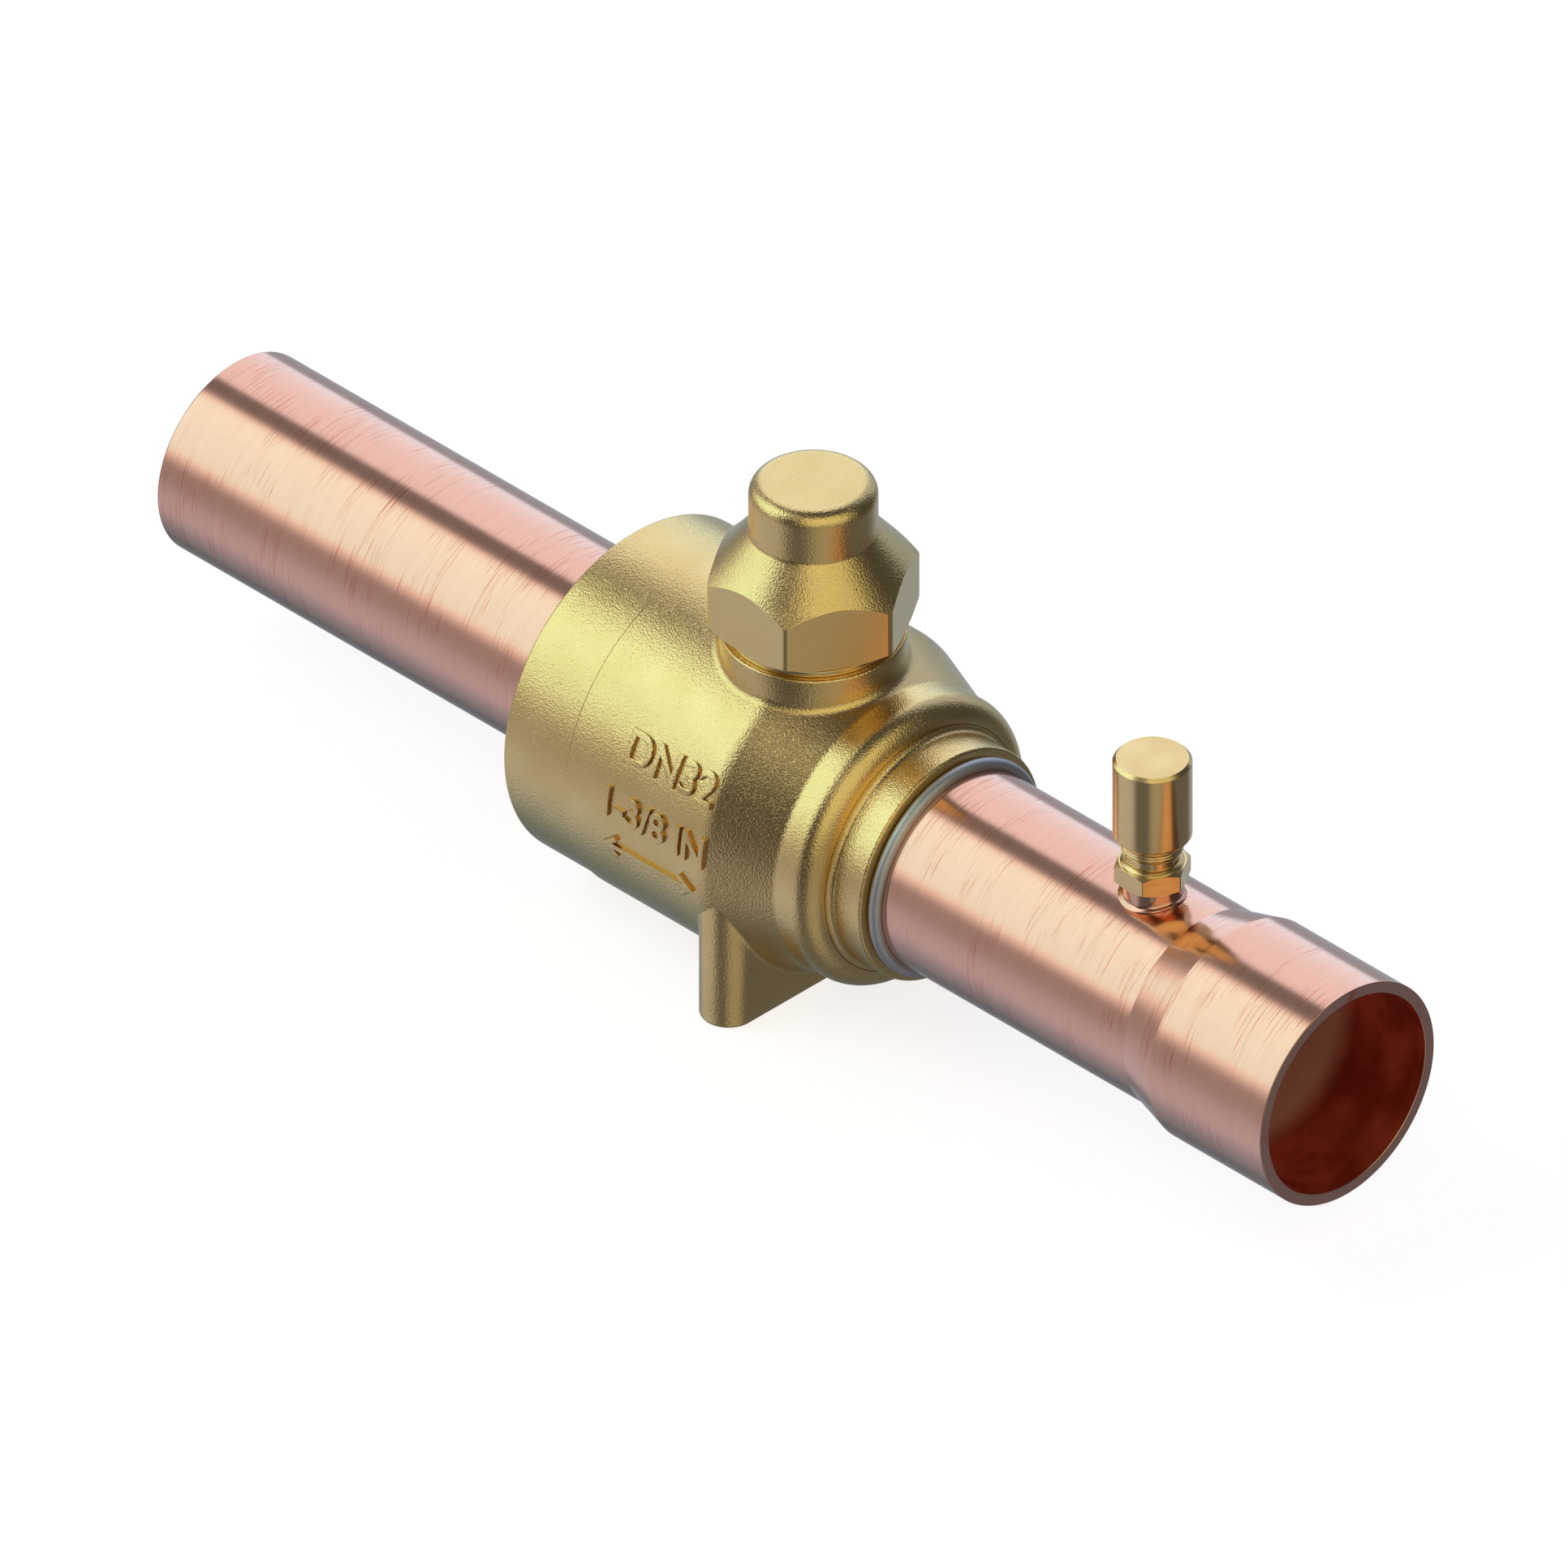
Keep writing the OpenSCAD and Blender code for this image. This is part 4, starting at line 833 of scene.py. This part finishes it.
fitRows = ringsOf(fitAngle, [
    (fit["throat"], fit["low"]), (fit["stubFit"], fit["low"]), (fit["stubFit"], fit["bottom"]),
    (flatRadius, fit["bottom"]), (fitHex, fitLow), (fitHex, fitLow + 0.05), (fitHex, fitHigh - 0.05),
    (fitHex, fitHigh), (flatRadius, fit["top"]), (ring, fit["top"] + 0.01), (ring - 0.05, fit["top"] + 0.1),
    (neck + 0.2, fit["top"] + 0.5), (neck, fit["top"] + 0.56), (neck, neckEnd - 0.05), (neck - 0.05, neckEnd),
    (root, neckEnd + 0.02), *zip(threadR, threadZ), (root, fit["threadEnd"]), (root - 0.9, nose - 0.03),
    (root - 0.96, nose), (fit["bore"] + 0.05, nose), (fit["bore"], nose - 0.05), (fit["bore"], fit["boreEnd"]),
    (fit["throat"], fit["boreEnd"] - 0.01), (fit["throat"], fit["coneEnd"]), (fit["pinhole"], fit["coneEnd"] - 0.1),
    (fit["pinhole"], fit["low"] + 0.4)], port["place"])
putMesh("accessNut", skinOf(fitRows, True), brassTurned, "valve", ["access_fitting"], sharp=22.0)

# the round cap, from its roof inside down to the mouth and its two ring grooves, and up the outside
dust = dict(roof=39.315, top=43.515, radius=6.375, chamfer=0.56)
dustCorners = [(4.75, dust["roof"]), (4.75, 26.6), (4.9, 26.415), (5.02, 26.415), (5.05, 26.78), (4.93, 26.9),
               (5.06, 27.02), (5.07, 27.28), (4.95, 27.4), (5.08, 27.52), (5.12, 27.8), (dust["radius"], 29.1),
               (dust["radius"], dust["top"] - dust["chamfer"]), (dust["radius"] - dust["chamfer"], dust["top"])]
dustSection = roundedPath(dustCorners, [0, 0.08, 0.05, 0.1, 0.05, 0.04, 0.05, 0.05, 0.04, 0.05, 0.2, 0.5, 0.08, 0.08],
                          closed=False, perArc=6)
dustPoles = [[port["place"], 0, dust[key]] for key in ("roof", "top")]
putMesh("dustCap", skinOf(ringsOf(evenAngles(192), dustSection, port["place"]), False, *dustPoles), brassTurned,
        "access_cap", ["access_cap"])
print("access port ready")


# The inner pieces keep their CAD shape and get their own finish

for finish, nodeNames in (
        (chromePlate, "ball"), (steelTurned, "stem stop_pin core_spring"), (brassTurned, "core_body core_pin"),
        (whitePtfe, "inlet_seat outlet_seat thrust_washer core_seal"),
        (blackRubber, "closure_seal stem_o_ring_lower stem_o_ring_upper core_disc access_cap_seal")):
    for nodeName in nodeNames.split():
        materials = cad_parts[nodeName].data.materials
        materials.clear()
        materials.append(finish)


# Studio: pale floor, soft boxes in the world's colour, and the photo's isometric camera

floor = dict(half=3.0, level=-0.00005)
floorMesh = bpy.data.meshes.new("studioFloor")
floorMesh.from_pydata([(x * floor["half"], y * floor["half"], floor["level"])
                       for x, y in ((-1, -1), (1, -1), (1, 1), (-1, 1))], [], [(0, 1, 2, 3)])
studioFloor = newObject("studioFloor", floorMesh)


def studioPaper():
    # matt white paper; in camera rays it is lifted to white and keeps the object's soft shadow. Glossy rays
    # go through it to the cards below the horizon
    material = bpy.data.materials.new("studioPaper")
    tree = emptyTree(material)
    path = addNode(tree, "ShaderNodeLightPath").outputs
    matt = addNode(tree, "ShaderNodeBsdfDiffuse", {"Color": (0.62, 0.565, 0.62, 1)})
    lift = addNode(tree, "ShaderNodeEmission", {"Color": (0.77, 0.77, 0.77, 1), "Strength": path["Is Camera Ray"]})
    paper = addNode(tree, "ShaderNodeAddShader", {0: matt.outputs[0], 1: lift.outputs[0]})
    clear = addNode(tree, "ShaderNodeBsdfTransparent")
    back = addNode(tree, "ShaderNodeNewGeometry").outputs["Backfacing"]
    seen = mathOn(tree, "MAXIMUM", back, path["Is Glossy Ray"])
    both = addNode(tree, "ShaderNodeMixShader", {0: seen, 1: paper.outputs[0], 2: clear.outputs[0]})
    addNode(tree, "ShaderNodeOutputMaterial", {"Surface": both.outputs[0]})
    return material


floorMesh.materials.append(studioPaper())


def buildStudio(cards, dim):
    # each card covers a window of azimuth and elevation (degrees) and shows one colour there, with soft
    # edges; windows add up over a dim rest
    world = bpy.data.worlds.new("studioWorld")
    bpy.context.scene.world = world
    tree = emptyTree(world)
    way = addNode(tree, "ShaderNodeTexCoord").outputs["Generated"]
    height = addNode(tree, "ShaderNodeSeparateXYZ", {0: way}).outputs["Z"]
    elevation = mathOn(tree, "DEGREES", mathOn(tree, "ARCSINE", height))
    total = None
    for az, half, low, high, soft, softLow, softHigh, light, *top in cards:
        az = math.radians(az)
        across, along = (vectorOn(tree, "DOT_PRODUCT", way, vector, output="Value")
                         for vector in ((-math.sin(az), math.cos(az), 0), (math.cos(az), math.sin(az), 0)))
        away = mathOn(tree, "ABSOLUTE", mathOn(tree, "DEGREES", mathOn(tree, "ARCTAN2", across, along)))
        mask = rangeMap(tree, away, half - soft, half + soft, 1.0, 0.0, smooth=True)
        for edge, rise, ends in ((low, softLow, (0.0, 1.0)), (high, softHigh, (1.0, 0.0))):
            fade = rangeMap(tree, elevation, edge - rise, edge + rise, *ends, smooth=True)
            mask = mathOn(tree, "MULTIPLY", mask, fade)
        tint = addNode(tree, "ShaderNodeVectorMath", {0: light, "Scale": mask}, operation="SCALE").outputs[0]
        if top:
            tint = vectorOn(tree, "MINIMUM", tint, top[0])
        total = tint if total is None else vectorOn(tree, "ADD", total, tint)
    light, white = (addNode(tree, "ShaderNodeBackground", {"Color": colour, "Strength": 1.0}).outputs[0]
                    for colour in (vectorOn(tree, "ADD", total, dim), (1, 1, 1, 1)))
    path = addNode(tree, "ShaderNodeLightPath").outputs
    seen = mathOn(tree, "MAXIMUM", path["Is Camera Ray"], path["Is Transmission Ray"])
    both = addNode(tree, "ShaderNodeMixShader", {0: seen, 1: light, 2: white})
    addNode(tree, "ShaderNodeOutputWorld", {"Surface": both.outputs[0]})


# Camera and transmission rays see white. Glossy rays see the cards, because the photo's metal shows warm,
# grey and dark bands of a studio round it and not its white page
# azimuth, half its width, low, high, softness of the sides, of the low edge and of the high edge; the colour
# of its light, and for the first a limit on that colour
studioCards = [
    # big white boxes at the left and at the back right, with a grey gap between them
    (-140, 31, 6.5, 61, 8, 9, 6, (1.24, 1.26, 1.15), (0.90, 2, 2)),
    (-138, 34, 46, 61, 20, 9, 6, (0.12, 0.12, 0.1)),
    (138, 21, 1.5, 60, 4, 3.5, 6, (0.88, 0.94, 1.01)),
    (138, 21, 1, 15, 4, 2.5, 30, (0.0, 0.30, 0.56)),
    (174, 15, -2, 50, 4, 2.5, 5, (0.22, 0.22, 0.23)),
    (176, 15, 50, 64, 8, 2.5, 5, (0.11, 0.11, 0.11)),
    (100, 18, 0, 52, 6, 2.5, 5, (0.42, 0.50, 0.66)),
    # warm box near the camera, its right edge leaning away with height
    (-22, 42, 3, 62, 11, 10, 9, (0.68, 0.655, 0.38)),
    (27, 9, 38, 58, 7, 7, 5, (0.30, 0.29, 0.18)),
    # grey glow overhead, between the boxes
    (-84, 50, 38, 74, 22, 22, 14, (0.19, 0.18, 0.17)),
    # the floor, all round, and paler under each box
    (0, 200, -100, -24, 4, 2.5, 14, (0.07, 0.075, 0.09)),
    (-140, 42, -50, 5, 10, 11, 6, (0.29, 0.28, 0.28)),
    (-142, 40, -54, -20, 12, 12, 12, (0.08, 0.11, 0.17)),
    (178, 40, -75, -40, 20, 12, 10, (0.01, 0.05, 0.07)),
    (127, 40, -42, 0, 12, 10, 3, (0.26, 0.33, 0.40)),
    (-20, 31, -62, 3, 9, 12, 10, (0.25, 0.235, 0.18)),
    (-94, 14, -28, -10, 12, 10, 10, (0.03, 0.03, 0.04)),
]
buildStudio(studioCards, (0.07, 0.072, 0.075))

photoView = dict(width=0.24884, right=-4.66, up=0.26, distance=0.9)
cameraData = bpy.data.cameras.new("photoCamera")
cameraData.type = "ORTHO"
cameraData.ortho_scale = photoView["width"]
cameraData.clip_end = 10.0
camera = newObject("photoCamera", cameraData)
toCamera = Vector((1, -1, 1)).normalized()
imageRight = Vector((1, 1, 0)).normalized()
imageUp = toCamera.cross(imageRight)
aim = Vector((stemPlace, 0, axisHeight)) + imageRight * photoView["right"] + imageUp * photoView["up"]
camera.location = aim * mm + toCamera * photoView["distance"]
camera.rotation_mode = "QUATERNION"
camera.rotation_quaternion = (-toCamera).to_track_quat("-Z", "Y")
bpy.context.scene.camera = camera
bpy.context.scene.view_settings.view_transform = "Standard"
print("studio ready")
